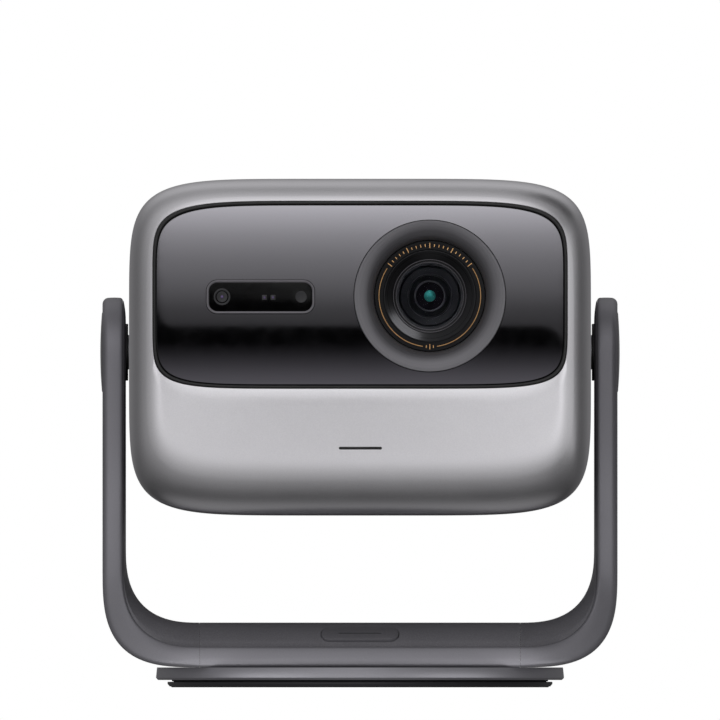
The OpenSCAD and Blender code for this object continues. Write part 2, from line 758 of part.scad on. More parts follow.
foot_pad();
foot_plate();
tripod_insert();
lower_race();
bearing_balls();
ball_cage();
swivel_washer();
swivel_nut();
turntable();
upper_race();
swivel_bush();
base_bridge();
left_arm();
right_arm();
base_liner();
left_liner();
right_liner();
dc_inlet();
button_board();
hinge_bushes();
hinge_washers();
hinge_caps();
power_button();
front_shell();
rear_shell();
seam_trim();
rear_grille();
glass_gasket();
front_glass();
window_carrier();
sensor_bezel();
sensor_window();
camera_module();
range_sensor();
lens_bezel();
scale_ring();
accent_ring();
lens_barrel();
front_cell();
front_element();
inner_sleeve();
focus_gear();
focus_cell();
focus_motor();
focus_pinion();
engine_housing();
imager_board();
laser_module();
heat_sink();
fan_frames();
left_fan_rotor();
right_fan_rotor();
speakers();
main_board();
port_block();
audio_jack();
chassis();
left_hinge_shaft();
right_hinge_shaft();
shaft_screws();
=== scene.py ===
"""Home projector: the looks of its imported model, with finer shells, lens, window and stand."""

import logging
import math
from dataclasses import dataclass
from enum import Enum

import bmesh
import bpy
from mathutils import Matrix, Vector


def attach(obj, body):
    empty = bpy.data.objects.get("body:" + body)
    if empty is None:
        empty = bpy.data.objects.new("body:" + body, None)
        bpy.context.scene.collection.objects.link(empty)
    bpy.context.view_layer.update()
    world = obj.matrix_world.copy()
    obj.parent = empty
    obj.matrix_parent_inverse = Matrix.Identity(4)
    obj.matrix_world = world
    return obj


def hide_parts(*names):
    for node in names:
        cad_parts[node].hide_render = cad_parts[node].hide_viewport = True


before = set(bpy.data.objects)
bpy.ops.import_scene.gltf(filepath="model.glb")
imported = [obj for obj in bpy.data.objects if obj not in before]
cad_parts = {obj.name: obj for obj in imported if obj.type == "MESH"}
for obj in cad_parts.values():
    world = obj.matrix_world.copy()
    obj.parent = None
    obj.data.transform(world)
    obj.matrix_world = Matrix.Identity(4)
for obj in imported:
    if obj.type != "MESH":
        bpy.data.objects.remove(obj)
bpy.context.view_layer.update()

MM = 0.001
LOG = logging.getLogger("projector")


# ------------------------------------------------------------------ colour and nodes


def linear(code: str) -> tuple[float, float, float, float]:
    """Turns an sRGB hex colour into linear RGBA.

    Args:
        code: Colour as "#rrggbb".

    Returns:
        The four linear channels, alpha 1.
    """
    parts = [int(code[i:i + 2], 16) / 255 for i in (1, 3, 5)]
    flat = [c / 12.92 if c <= 0.04045 else ((c + 0.055) / 1.055) ** 2.4 for c in parts]
    return (flat[0], flat[1], flat[2], 1.0)


def add_node(tree: bpy.types.NodeTree, kind: str, values: dict | None = None,
             links: dict | None = None, **settings: object) -> bpy.types.Node:
    """Adds a node with its settings, socket values and incoming links.

    Args:
        tree: The node tree it is added to.
        kind: The node's type name.
        values: Input socket (name or number) to its fixed value.
        links: Input socket (name or number) to the output socket that feeds it.
        **settings: The node's own properties.

    Returns:
        The new node.
    """
    node = tree.nodes.new(kind)
    for name, value in settings.items():
        setattr(node, name, value)
    for name, value in (values or {}).items():
        node.inputs[name].default_value = value
    for name, source in (links or {}).items():
        tree.links.new(source, node.inputs[name])
    return node


def set_stops(ramp: bpy.types.ColorRamp, stops: list[tuple[float, tuple]]) -> None:
    """Gives a colour ramp its stops.

    Args:
        ramp: The ramp.
        stops: Position and linear RGBA of each stop, in rising order.
    """
    while len(ramp.elements) > 1:
        ramp.elements.remove(ramp.elements[-1])
    ramp.elements[0].position, ramp.elements[0].color = stops[0]
    for place, colour in stops[1:]:
        ramp.elements.new(place).color = colour


class Relief(Enum):
    """How a surface was left by its making."""

    SPRAYED = "metal flake under a thin clear coat"
    SPARKED = "fine spark-eroded mould texture"
    TURNED = "concentric tool marks"
    BRUSHED = "straight grain"
    CAST = "soft shot-blasted skin"
    POLISHED = "smooth, with the last haze of polishing"
    WOVEN = "glass cloth under solder mask"


@dataclass(frozen=True)
class Finish:
    """A finish: a base colour, how it takes light, and the relief its making leaves.

    grain is the size of the relief in millimetres and depth its height. Where the real
    grain is below half a millimetre it is drawn about that coarse, so that it shows.
    """

    name: str
    colour: str
    shade: str
    relief: Relief
    metallic: float = 0.0
    roughness: float = 0.4
    spread: float = 0.06
    grain: float = 0.6
    depth: float = 0.02
    coat: float = 0.0
    coat_roughness: float = 0.1
    ior: float = 1.5
    centre: tuple[float, float, float] = (0.0, 0.0, 0.0)
    transmission: float = 0.0
    glow: float = 0.0
    contrast: float = 1.0

    def material(self) -> bpy.types.Material:
        """Builds the material once and gives it back on later calls."""
        found = bpy.data.materials.get(self.name)
        return found or self._make()

    def _make(self) -> bpy.types.Material:
        """Makes the material: relief drives colour, roughness and bump."""
        mat = bpy.data.materials.new(self.name)
        mat.use_nodes = True
        tree = mat.node_tree
        tree.nodes.clear()
        where = add_node(tree, "ShaderNodeTexCoord")
        height = self._height(tree, where.outputs["Object"])
        # a broad, faint mottling as well, since no sprayed or moulded face is quite even
        broad = add_node(tree, "ShaderNodeTexNoise", {"Scale": 45.0, "Detail": 3.0},
                         {"Vector": where.outputs["Object"]})
        both = add_node(tree, "ShaderNodeMix", {"Factor": 0.25},
                        {2: height, 3: broad.outputs["Fac"]}, data_type="FLOAT")
        half = 0.5 / max(0.2, self.contrast)
        tone = add_node(tree, "ShaderNodeMapRange",
                        {"From Min": 0.5 - half * 0.5, "From Max": 0.5 + half * 0.5},
                        {"Value": both.outputs[0]})
        colour = add_node(tree, "ShaderNodeMix",
                          {6: linear(self.shade), 7: linear(self.colour)},
                          {"Factor": tone.outputs["Result"]}, data_type="RGBA")
        rough = add_node(tree, "ShaderNodeMapRange",
                         {"From Min": 0.3, "From Max": 0.7,
                          "To Min": max(0.02, self.roughness - self.spread),
                          "To Max": min(1.0, self.roughness + self.spread)},
                         {"Value": both.outputs[0]})
        links = {"Base Color": colour.outputs[2], "Roughness": rough.outputs["Result"]}
        if self.relief is not Relief.POLISHED:
            bump = add_node(tree, "ShaderNodeBump",
                            {"Strength": 1.0, "Distance": self.depth * MM}, {"Height": height})
            links["Normal"] = bump.outputs["Normal"]
        values = {"Metallic": self.metallic, "Coat Weight": self.coat,
                  "Coat Roughness": self.coat_roughness,
                  "Transmission Weight": self.transmission,
                  "Emission Strength": self.glow}
        if self.metallic < 0.5:
            values["IOR"] = self.ior
        if self.glow:
            values["Emission Color"] = linear(self.colour)
        shader = add_node(tree, "ShaderNodeBsdfPrincipled", values, links)
        add_node(tree, "ShaderNodeOutputMaterial", None, {"Surface": shader.outputs["BSDF"]})
        return mat

    def _height(self, tree: bpy.types.NodeTree,
                place: bpy.types.NodeSocket) -> bpy.types.NodeSocket:
        """Adds the pattern of the relief.

        Args:
            tree: The material's node tree.
            place: Object coordinates, in metres.

        Returns:
            A socket with the relief's height, about 0 to 1.
        """
        scale = 1 / (self.grain * MM)
        if self.relief is Relief.TURNED:
            moved = add_node(tree, "ShaderNodeVectorMath", {1: self.centre}, {0: place},
                             operation="SUBTRACT")
            axes = add_node(tree, "ShaderNodeSeparateXYZ", None, {"Vector": moved.outputs[0]})
            flat = add_node(tree, "ShaderNodeCombineXYZ", None,
                            {"X": axes.outputs["X"], "Y": axes.outputs["Z"]})
            radius = add_node(tree, "ShaderNodeVectorMath", None, {0: flat.outputs[0]},
                              operation="LENGTH")
            ruled = add_node(tree, "ShaderNodeCombineXYZ", None,
                             {"X": radius.outputs["Value"], "Y": axes.outputs["Y"]})
            return add_node(tree, "ShaderNodeTexNoise", {"Scale": scale, "Detail": 2.0},
                            {"Vector": ruled.outputs[0]}).outputs["Fac"]
        if self.relief is Relief.BRUSHED:
            drawn = add_node(tree, "ShaderNodeMapping", {"Scale": (0.03, 1.0, 1.0)},
                             {"Vector": place})
            return add_node(tree, "ShaderNodeTexNoise", {"Scale": scale, "Detail": 3.0},
                            {"Vector": drawn.outputs[0]}).outputs["Fac"]
        if self.relief is Relief.WOVEN:
            cloth = add_node(tree, "ShaderNodeTexVoronoi", {"Scale": scale, "Randomness": 0.35},
                             {"Vector": place}, distance="CHEBYCHEV")
            return cloth.outputs["Distance"]
        if self.relief is Relief.SPARKED:
            pits = add_node(tree, "ShaderNodeTexVoronoi", {"Scale": scale}, {"Vector": place},
                            feature="SMOOTH_F1")
            return pits.outputs["Distance"]
        detail = 1.0 if self.relief is Relief.POLISHED else 3.0
        return add_node(tree, "ShaderNodeTexNoise", {"Scale": scale, "Detail": detail},
                        {"Vector": place}).outputs["Fac"]


LENS = (0.0324, -0.0946, 0.1816)

# Aluminium-flake spray under a satin clear: bright straight on, quickly dark as it turns away
SILVER = Finish("silver_flake_paint", "#d6d5d8", "#c3c2c6", Relief.SPRAYED, 0.92, 0.33, 0.05,
                0.5, 0.005, contrast=0.6)
# The same spray with dark pigment on the cast stand: a dry, slightly coarser sparkle
GREY = Finish("graphite_flake_paint", "#85848a", "#77767b", Relief.SPRAYED, 0.55, 0.44, 0.05,
              0.55, 0.008, contrast=0.6)
CAP = Finish("graphite_flake_cap", "#7b7a7e", "#6b6a6e", Relief.SPRAYED, 0.88, 0.36, 0.04,
             0.5, 0.006, contrast=0.6)
# Moulded PC-ABS with a fine spark texture: even, slightly soft sheen
LINER = Finish("moulded_grey_liner", "#7b7a7f", "#6c6b70", Relief.SPARKED, 0.25, 0.5, 0.06,
               0.5, 0.012)
DARK_SHELL = Finish("moulded_dark_shell", "#4d4c50", "#424145", Relief.SPARKED, 0.25, 0.45, 0.06,
                    0.6, 0.02)
GRILLE = Finish("moulded_black_grille", "#2c2c2f", "#222225", Relief.SPARKED, 0.0, 0.5, 0.08,
                0.55, 0.02)
BLACK = Finish("moulded_black_plastic", "#1c1c1e", "#151517", Relief.SPARKED, 0.0, 0.5, 0.08,
               0.5, 0.015)
FOOT = Finish("powder_coated_steel", "#47474b", "#3b3b3f", Relief.CAST, 0.1, 0.52, 0.08,
              0.7, 0.03)
RUBBER = Finish("silicone_rubber", "#1d1d1f", "#161618", Relief.CAST, 0.0, 0.72, 0.08,
                0.8, 0.02, ior=1.41)
GASKET = Finish("epdm_gasket", "#121214", "#0d0d0e", Relief.CAST, 0.0, 0.45, 0.08,
                0.6, 0.008)
# Back-painted mineral glass: black all through, mirror clear on top
GLASS = Finish("black_backed_glass", "#060607", "#040405", Relief.POLISHED, 0.0, 0.035, 0.008,
               6.0, 0.0004)
LENS_GLASS = Finish("coated_lens_glass", "#f2f4f8", "#e9ecf2", Relief.POLISHED, 0.0, 0.015,
                    0.003, 8.0, 0.0002, ior=1.05, transmission=1.0)
PUPIL = Finish("coated_inner_glass", "#1d1822", "#151118", Relief.POLISHED, 0.0, 0.55, 0.02,
               6.0, 0.0004, ior=1.12)
# The last lens deep inside, whose coating throws back a green-blue spot
DEEP = Finish("teal_coated_glass", "#3a968d", "#226e68", Relief.POLISHED, 0.85, 0.3, 0.04,
              2.0, 0.0004)
# Turned and grey anodised aluminium: fine circular tool marks
BEZEL = Finish("turned_grey_anodised", "#77767a", "#68676b", Relief.TURNED, 0.55, 0.42, 0.05,
               0.5, 0.006, centre=LENS)
CELL = Finish("turned_dark_anodised", "#3a3a3c", "#2e2e30", Relief.TURNED, 0.8, 0.3, 0.05,
              0.45, 0.008, centre=LENS)
RING = Finish("matt_black_anodised", "#161618", "#0f0f11", Relief.TURNED, 0.0, 0.4, 0.05,
              0.45, 0.006, ior=1.2, centre=LENS)
SLEEVE = Finish("bead_blasted_black", "#303033", "#242427", Relief.TURNED, 0.3, 0.34, 0.06,
                0.6, 0.012, centre=LENS)
GOLD = Finish("gold_filled_engraving", "#dcb27c", "#c08a52", Relief.CAST, 0.6, 0.4, 0.05,
              0.5, 0.003)
SENSOR_RIM = Finish("satin_grey_rim", "#6f6d71", "#626065", Relief.SPRAYED, 0.85, 0.36, 0.04,
                    0.5, 0.004)
BUTTON = Finish("satin_grey_button", "#7d7c81", "#717075", Relief.SPARKED, 0.3, 0.46, 0.05,
                0.5, 0.010)
LIGHT = Finish("frosted_light_guide", "#4c4d50", "#434447", Relief.CAST, 0.0, 0.45, 0.05,
               0.6, 0.006)
STEEL = Finish("machined_steel", "#a3a5a9", "#8d8f94", Relief.BRUSHED, 0.95, 0.32, 0.06,
               0.5, 0.006)
BALL = Finish("ground_ball_steel", "#c9cbd0", "#b7b9be", Relief.POLISHED, 1.0, 0.12, 0.04,
              2.0, 0.001)
BRASS = Finish("turned_brass", "#c4a25c", "#a9873f", Relief.BRUSHED, 0.95, 0.3, 0.06, 0.5, 0.006)
BRONZE = Finish("sintered_bronze", "#b58f58", "#957041", Relief.CAST, 0.9, 0.45, 0.08, 0.6, 0.02)
NYLON = Finish("natural_nylon", "#d8d3c3", "#c9c3b0", Relief.CAST, 0.0, 0.42, 0.06, 0.8, 0.01)
BOARD = Finish("green_circuit_board", "#2d5e3c", "#214a2d", Relief.WOVEN, 0.0, 0.38, 0.08,
               1.4, 0.02, coat=0.4)
ALUMINIUM = Finish("die_cast_aluminium", "#a5a7ab", "#8f9195", Relief.CAST, 0.9, 0.42, 0.08,
                   0.9, 0.03)
COPPER = Finish("lacquered_copper", "#9a7048", "#7f5936", Relief.BRUSHED, 0.9, 0.34, 0.06,
                0.5, 0.006)
FIN = Finish("extruded_aluminium_fins", "#b9bbbf", "#a3a5a9", Relief.BRUSHED, 0.95, 0.34, 0.06,
             0.5, 0.01)
FAN = Finish("moulded_fan_plastic", "#2b2b2e", "#212124", Relief.SPARKED, 0.0, 0.4, 0.06,
             0.6, 0.012)
PORT = Finish("nickel_plated_shell", "#8d8d92", "#77777c", Relief.BRUSHED, 0.9, 0.3, 0.06,
              0.5, 0.006)

# Small camera lens with a violet anti-glare coating
EYE = Finish("coated_camera_lens", "#6a5a86", "#57496f", Relief.POLISHED, 0.4, 0.25, 0.03,
             3.0, 0.0004)

SLOTS: dict[str, Finish] = {
    "rubber": RUBBER, "foot_paint": FOOT, "brass": BRASS, "steel": STEEL, "ball_steel": BALL,
    "cage_plastic": NYLON, "bronze": BRONZE, "stand_metal": GREY, "liner_plastic": LINER,
    "black_plastic": BLACK, "board": BOARD, "cap_metal": CAP, "button_plastic": BUTTON,
    "silver_paint": SILVER, "rear_plastic": DARK_SHELL, "grille_plastic": GRILLE,
    "window_glass": GLASS, "carrier_plastic": BLACK, "bezel_metal": BEZEL, "ring_black": RING,
    "accent": GOLD, "barrel_metal": SLEEVE, "lens_glass": LENS_GLASS, "gear_plastic": NYLON,
    "motor_metal": STEEL, "engine_metal": ALUMINIUM, "laser_metal": COPPER, "sink_metal": FIN,
    "fan_plastic": FAN, "port_metal": PORT, "chassis_metal": ALUMINIUM, "screw_steel": STEEL,
}


# ------------------------------------------------------------------ the workbench


class Bench:
    """Shapes one piece at a time with mesh operators, then closes and dresses it."""

    @staticmethod
    def clear() -> None:
        """Leaves edit mode and deselects everything."""
        if bpy.context.object and bpy.context.object.mode != "OBJECT":
            bpy.ops.object.mode_set(mode="OBJECT")
        bpy.ops.object.select_all(action="DESELECT")

    @staticmethod
    def begin(name: str) -> bpy.types.Object:
        """Lays out an empty piece at the origin and opens it in edit mode."""
        Bench.clear()
        piece = bpy.data.objects.new(name, bpy.data.meshes.new(name))
        bpy.context.scene.collection.objects.link(piece)
        bpy.context.view_layer.objects.active = piece
        piece.select_set(True)
        bpy.ops.object.mode_set(mode="EDIT")
        bpy.ops.mesh.select_mode(type="VERT")
        return piece

    @staticmethod
    def _set_ring(places: list[Vector]) -> None:
        """Moves the selected ring's points to their places, by the number each carries."""
        mesh = bpy.context.edit_object.data
        shape = bmesh.from_edit_mesh(mesh)
        spot = shape.verts.layers.int["spot"]
        for vert in shape.verts:
            if vert.select:
                vert.co = places[vert[spot]]
        bmesh.update_edit_mesh(mesh)

    @staticmethod
    def loft(rings: list[list[Vector]], open_chain: bool = False, cap_first: bool = False,
             cap_last: bool = False, join_ends: bool = False) -> None:
        """Draws a circle on the first ring and extrudes it from ring to ring.

        Args:
            rings: The places of each ring's points, all rings equally long.
            open_chain: True for a strip, whose last point isn't joined to its first.
            cap_first: Fills the first ring with a face.
            cap_last: Fills the last ring with a face.
            join_ends: Leads the skin back to the first ring, for a closed section.
        """
        bpy.ops.mesh.select_all(action="DESELECT")
        bpy.ops.mesh.primitive_circle_add(vertices=len(rings[0]), radius=10 * MM)
        mesh = bpy.context.edit_object.data
        shape = bmesh.from_edit_mesh(mesh)
        if "spot" not in shape.verts.layers.int:
            shape.verts.layers.int.new("spot")
        spot = shape.verts.layers.int["spot"]
        ring = [vert for vert in shape.verts if vert.select]
        for number, vert in enumerate(ring):
            vert[spot] = number
        if open_chain:
            last = ring[-1]
            for edge in list(last.link_edges):
                if edge.other_vert(last) is ring[0]:
                    shape.edges.remove(edge)
        bmesh.update_edit_mesh(mesh)
        Bench._set_ring(rings[0])
        if cap_first:
            bpy.ops.mesh.edge_face_add()
        for places in rings[1:] + ([rings[0]] if join_ends else []):
            bpy.ops.mesh.extrude_edges_move()
            Bench._set_ring(places)
        if cap_last:
            bpy.ops.mesh.edge_face_add()

    @staticmethod
    def turn(profile: list[tuple[float, float]], centre: tuple[float, float, float],
             axis: str = "Y", steps: int = 128, join_ends: bool = True) -> None:
        """Turns a profile about an axis, as on a lathe.

        Args:
            profile: Radius and place along the axis of each point, in millimetres.
            centre: A point on the axis, in millimetres; its own coordinate on the axis is unused.
            axis: X, Y or Z.
            steps: Points round the circle.
            join_ends: Leads the profile back to its start.
        """
        rings = []
        for radius, along in profile:
            ring = []
            for i in range(steps):
                turn = 2 * math.pi * i / steps
                u, v = radius * math.cos(turn), radius * math.sin(turn)
                place = {"X": (along, centre[1] + u, centre[2] + v),
                         "Y": (centre[0] + u, along, centre[2] + v),
                         "Z": (centre[0] + u, centre[1] + v, along)}[axis]
                ring.append(Vector(place) * MM)
            rings.append(ring)
        Bench.loft(rings, join_ends=join_ends)

    @staticmethod
    def fill_end(at: float, axis: int) -> None:
        """Closes the open edges that lie in the plane where coordinate axis is at."""
        mesh = bpy.context.edit_object.data
        bpy.ops.mesh.select_all(action="SELECT")
        bpy.ops.mesh.remove_doubles(threshold=2e-7)
        bpy.ops.mesh.select_all(action="DESELECT")
        bpy.ops.mesh.select_mode(type="EDGE")
        shape = bmesh.from_edit_mesh(mesh)
        for edge in shape.edges:
            if edge.is_boundary and all(abs(v.co[axis] - at) < 2e-6 for v in edge.verts):
                edge.select_set(True)
        bmesh.update_edit_mesh(mesh)
        bpy.ops.mesh.edge_face_add()
        bpy.ops.mesh.select_mode(type="VERT")

    @staticmethod
    def close(merge: float = 2e-7) -> bpy.types.Object:
        """Merges doubles, turns the faces outwards and goes back to object mode.

        Args:
            merge: Points closer than this, in metres, become one.

        Returns:
            The piece.
        """
        bpy.ops.mesh.select_all(action="SELECT")
        bpy.ops.mesh.remove_doubles(threshold=merge)
        bpy.ops.mesh.select_all(action="SELECT")
        bpy.ops.mesh.normals_make_consistent(inside=False)
        bpy.ops.object.mode_set(mode="OBJECT")
        piece = bpy.context.object
        layer = piece.data.attributes.get("spot")
        if layer:
            piece.data.attributes.remove(layer)
        return piece

    @staticmethod
    def cut(piece: bpy.types.Object, cutter: bpy.types.Object) -> None:
        """Cuts a tool body out of a piece and throws the tool away."""
        Bench.clear()
        bpy.context.view_layer.objects.active = piece
        piece.select_set(True)
        step = piece.modifiers.new("cut", "BOOLEAN")
        step.operation, step.solver, step.object = "DIFFERENCE", "EXACT", cutter
        bpy.ops.object.modifier_apply(modifier=step.name)
        bpy.data.objects.remove(cutter)

    @staticmethod
    def soften(piece: bpy.types.Object, width: float, angle: float = 40, segments: int = 2) -> None:
        """Rounds the sharp edges of a piece by width millimetres."""
        Bench.clear()
        bpy.context.view_layer.objects.active = piece
        piece.select_set(True)
        step = piece.modifiers.new("edge", "BEVEL")
        step.width, step.segments, step.limit_method = width * MM, segments, "ANGLE"
        step.angle_limit, step.use_clamp_overlap = math.radians(angle), True
        bpy.ops.object.modifier_apply(modifier=step.name)

    @staticmethod
    def dress(piece: bpy.types.Object, finish: Finish, body: str, slot: str,
              *nodes: str, angle: float = 35) -> bpy.types.Object:
        """Smooths, paints and hands over a finished piece.

        Args:
            piece: The piece.
            finish: Its finish.
            body: The body it rides on.
            slot: The record's material slot; not used.
            *nodes: CAD nodes it stands for.
            angle: Edges sharper than this stay sharp, in degrees.

        Returns:
            The piece.
        """
        Bench.clear()
        bpy.context.view_layer.objects.active = piece
        piece.select_set(True)
        bpy.ops.object.shade_smooth_by_angle(angle=math.radians(angle))
        piece.data.materials.clear()
        piece.data.materials.append(finish.material())
        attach(piece, body)
        if nodes:
            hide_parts(*nodes)
        LOG.info("%s: %d faces", piece.name, len(piece.data.polygons))
        return piece

    @staticmethod
    def refine(node: str, name: str, edge: float) -> bpy.types.Object:
        """Copies a CAD node, merges its loose triangles and rounds its sharp edges.

        Args:
            node: The CAD node.
            name: The new piece's name.
            edge: Width of the rounding in millimetres.

        Returns:
            The new piece, not yet dressed.
        """
        Bench.clear()
        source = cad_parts[node]
        mesh = source.data.copy()
        mesh.name = name
        mesh.transform(source.matrix_world)
        piece = bpy.data.objects.new(name, mesh)
        bpy.context.scene.collection.objects.link(piece)
        bpy.context.view_layer.objects.active = piece
        piece.select_set(True)
        bpy.ops.object.mode_set(mode="EDIT")
        bpy.ops.mesh.select_all(action="SELECT")
        bpy.ops.mesh.remove_doubles(threshold=2e-6)
        bpy.ops.mesh.select_all(action="SELECT")
        bpy.ops.mesh.dissolve_limited(angle_limit=math.radians(0.5))
        bpy.ops.object.mode_set(mode="OBJECT")
        if mesh.has_custom_normals:
            bpy.ops.mesh.customdata_custom_splitnormals_clear()
        if edge:
            Bench.soften(piece, edge)
        return piece


# ------------------------------------------------------------------ outlines


def squircle(a: float, b: float, power: float, steps: int) -> list[tuple[float, float]]:
    """Points of a superellipse.

    Args:
        a: Half width.
        b: Half height.
        power: Its exponent.
        steps: Number of points.

    Returns:
        The points as pairs, anticlockwise.
    """
    points = []
    for i in range(steps):
        turn = 2 * math.pi * (i + 0.5) / steps
        c, s = math.cos(turn), math.sin(turn)
        points.append((math.copysign(abs(c) ** (2 / power), c) * a,
                       math.copysign(abs(s) ** (2 / power), s) * b))
    return points


def pill(width: float, height: float, radius: float, steps: int = 24) -> list[tuple[float, float]]:
    """Points of a rectangle with round corners.

    Args:
        width: Its width.
        height: Its height.
        radius: Radius of its corners.
        steps: Points on each corner.

    Returns:
        The points as pairs, anticlockwise.
    """
    points = []
    for quarter in range(4):
        cx = (width / 2 - radius) * (1 if quarter in (0, 3) else -1)
        cz = (height / 2 - radius) * (1 if quarter < 2 else -1)
        for i in range(steps):
            turn = math.pi / 2 * (quarter + i / (steps - 1))
            points.append((cx + radius * math.cos(turn), cz + radius * math.sin(turn)))
    return points


def upright(points: list[tuple[float, float]], y: float, x0: float = 0.0,
            z0: float = 0.0) -> list[Vector]:
    """Stands an outline up at depth y, its middle at x0, z0; all in millimetres."""
    return [Vector((x0 + x, y, z0 + z)) * MM for x, z in points]


# ------------------------------------------------------------------ head


@dataclass
class Head:
    """The two shells of the head with room for the rubber between them, the rear grille and the
    front bar.
    """

    half_width: float = 107.2
    half_height: float = 78.15
    middle: float = 157.85
    power: float = 6.3
    front: float = 100.3
    rear: float = 101.5
    wall: float = 2.4
    front_round: float = 15.0
    rear_round: float = 18.0
    belly: float = 1.95
    split: float = 58.0
    seam: float = 1.2
    window_half_width: float = 96.3
    window_half_height: float = 43.5
    window_middle: float = 182.1
    window_power: float = 5.8
    window_low_power: float = 7.3
    steps: int = 224

    def outline(self, y: float, inset: float) -> list[Vector]:
        """One section of the head, shrunk by inset and more so under its middle."""
        top, low = self.half_height - inset, self.half_height - self.belly * inset
        ring = squircle(self.half_width - inset, top, self.power, self.steps)
        return [Vector((x, y, self.middle + (z * low / top if z < 0 else z))) * MM
                for x, z in ring]

    def window(self, grow: float) -> list[tuple[float, float]]:
        """The window's outline, grown by grow."""
        size = (self.window_half_width + grow, self.window_half_height + grow)
        return [high if high[1] > 0 else low for high, low in
                zip(squircle(*size, self.window_power, self.steps),
                    squircle(*size, self.window_low_power, self.steps))]

    def inset_at(self, x: float, z: float) -> float:
        """How far inside the head's outline a point of the front lies."""
        low, high = 0.0, 40.0
        for _ in range(30):
            mid = (low + high) / 2
            b = self.half_height - (mid * self.belly if z < self.middle else mid)
            size = (abs(x) / (self.half_width - mid)) ** self.power + \
                (abs(z - self.middle) / b) ** self.power
            low, high = (mid, high) if size < 1 else (low, mid)
        return low

    def depth_at(self, x: float, z: float) -> float:
        """Where the front skin lies over a point, as y in millimetres."""
        inset = self.inset_at(x, z)
        if inset >= self.front_round:
            return -self.front
        lean = math.acos(1 - inset / self.front_round)
        return -(self.front - self.front_round + self.front_round * math.sin(lean))

    def front_shell(self) -> bpy.types.Object:
        """Lofts the silver front: sides, rounding, face and the turned-in window rim."""
        Bench.begin("shell_front")
        rings = [self.outline(self.split, 0.25), self.outline(self.split - 0.3, 0.0),
                 self.outline(20, 0.0), self.outline(-40, 0.0),
                 self.outline(self.front_round - self.front, 0.0)]
        for i in range(1, 9):
            lean = math.radians(62) * i / 8
            rings.append(self.outline(
                -(self.front - self.front_round + self.front_round * math.sin(lean)),
                self.front_round * (1 - math.cos(lean))))
        start = rings[-1]
        rim = self.window(0.3)
        for share in (0.04, 0.09, 0.15, 0.22, 0.3, 0.4, 0.52, 0.66, 0.82, 1.0):
            ring = []
            for point, (x, z) in zip(start, rim):
                px = point.x / MM + (x - point.x / MM) * share
                pz = point.z / MM + (z + self.window_middle - point.z / MM) * share
                ring.append(Vector((px, self.depth_at(px, pz), pz)) * MM)
            rings.append(ring)
        edge = rings[-1]
        for grow, back in ((0.1, 0.06), (0.0, 0.25), (0.0, 3.2)):
            rings.append([Vector((x, p.y / MM + back, z + self.window_middle)) * MM
                          for (x, z), p in zip(self.window(grow), edge)])
        rings += [self.outline(-92.5, 6.0), self.outline(-87, 3.4), self.outline(-80, self.wall),
                  self.outline(self.split, self.wall)]
        Bench.loft(rings, join_ends=True)
        shell = Bench.close()
        Bench.begin("hinge_drill")
        Bench.turn([(0, -120), (8.5, -120), (8.5, 120), (0, 120)], (0, 0, 155.5), "X", 48, False)
        Bench.cut(shell, Bench.close())
        return Bench.dress(shell, SILVER, "head", "silver_paint", "front_shell", angle=28)

    def rear_shell(self) -> bpy.types.Object:
        """Lofts the dark rear shell with its rounding and the seat of the grille."""
        Bench.begin("shell_rear")
        start = self.split + self.seam
        rings = [self.outline(start, 0.25), self.outline(start + 0.3, 0.0)]
        for i in range(0, 11):
            lean = math.pi / 2 * i / 10
            rings.append(self.outline(self.rear - self.rear_round
                                      + self.rear_round * math.sin(lean),
                                      self.rear_round * (1 - math.cos(lean)) * 0.999))
        seat = squircle(86.1, 58.1, self.power, self.steps)
        rings += [upright([(x * 1.004, z * 1.006) for x, z in seat], self.rear, 0, self.middle),
                  upright(seat, self.rear - 0.4, 0, self.middle),
                  upright(seat, self.rear - 3.4, 0, self.middle)]
        rings += [self.outline(97.6, 15.5), self.outline(92, 7.0), self.outline(84, self.wall),
                  self.outline(start, self.wall)]
        Bench.loft(rings, join_ends=True)
        return Bench.dress(Bench.close(), DARK_SHELL, "head", "rear_plastic", "rear_shell",
                           angle=28)

    def grille(self) -> bpy.types.Object:
        """Rounds the bars of the CAD grille, whose slots are already in their places."""
        return Bench.dress(Bench.refine("rear_grille", "vent_grille", 0.35), GRILLE, "head",
                           "grille_plastic", "rear_grille")

    def mark(self) -> bpy.types.Object:
        """Lays a plain dark bar into the front, low in the middle."""
        Bench.begin("front_bar")
        face = -self.front
        Bench.loft([upright(pill(20 - d, 1.3 - d, (1.3 - d) / 2.01, 8), y, 0.2, 111)
                    for d, y in ((0, face + 0.6), (0, face - 0.02), (0.15, face - 0.06))],
                   cap_first=True, cap_last=True)
        return Bench.dress(Bench.close(), BLACK, "head", "black_plastic", angle=30)

    def build(self) -> None:
        """Builds the shells and the grille."""
        self.front_shell()
        self.rear_shell()
        self.grille()
        self.mark()


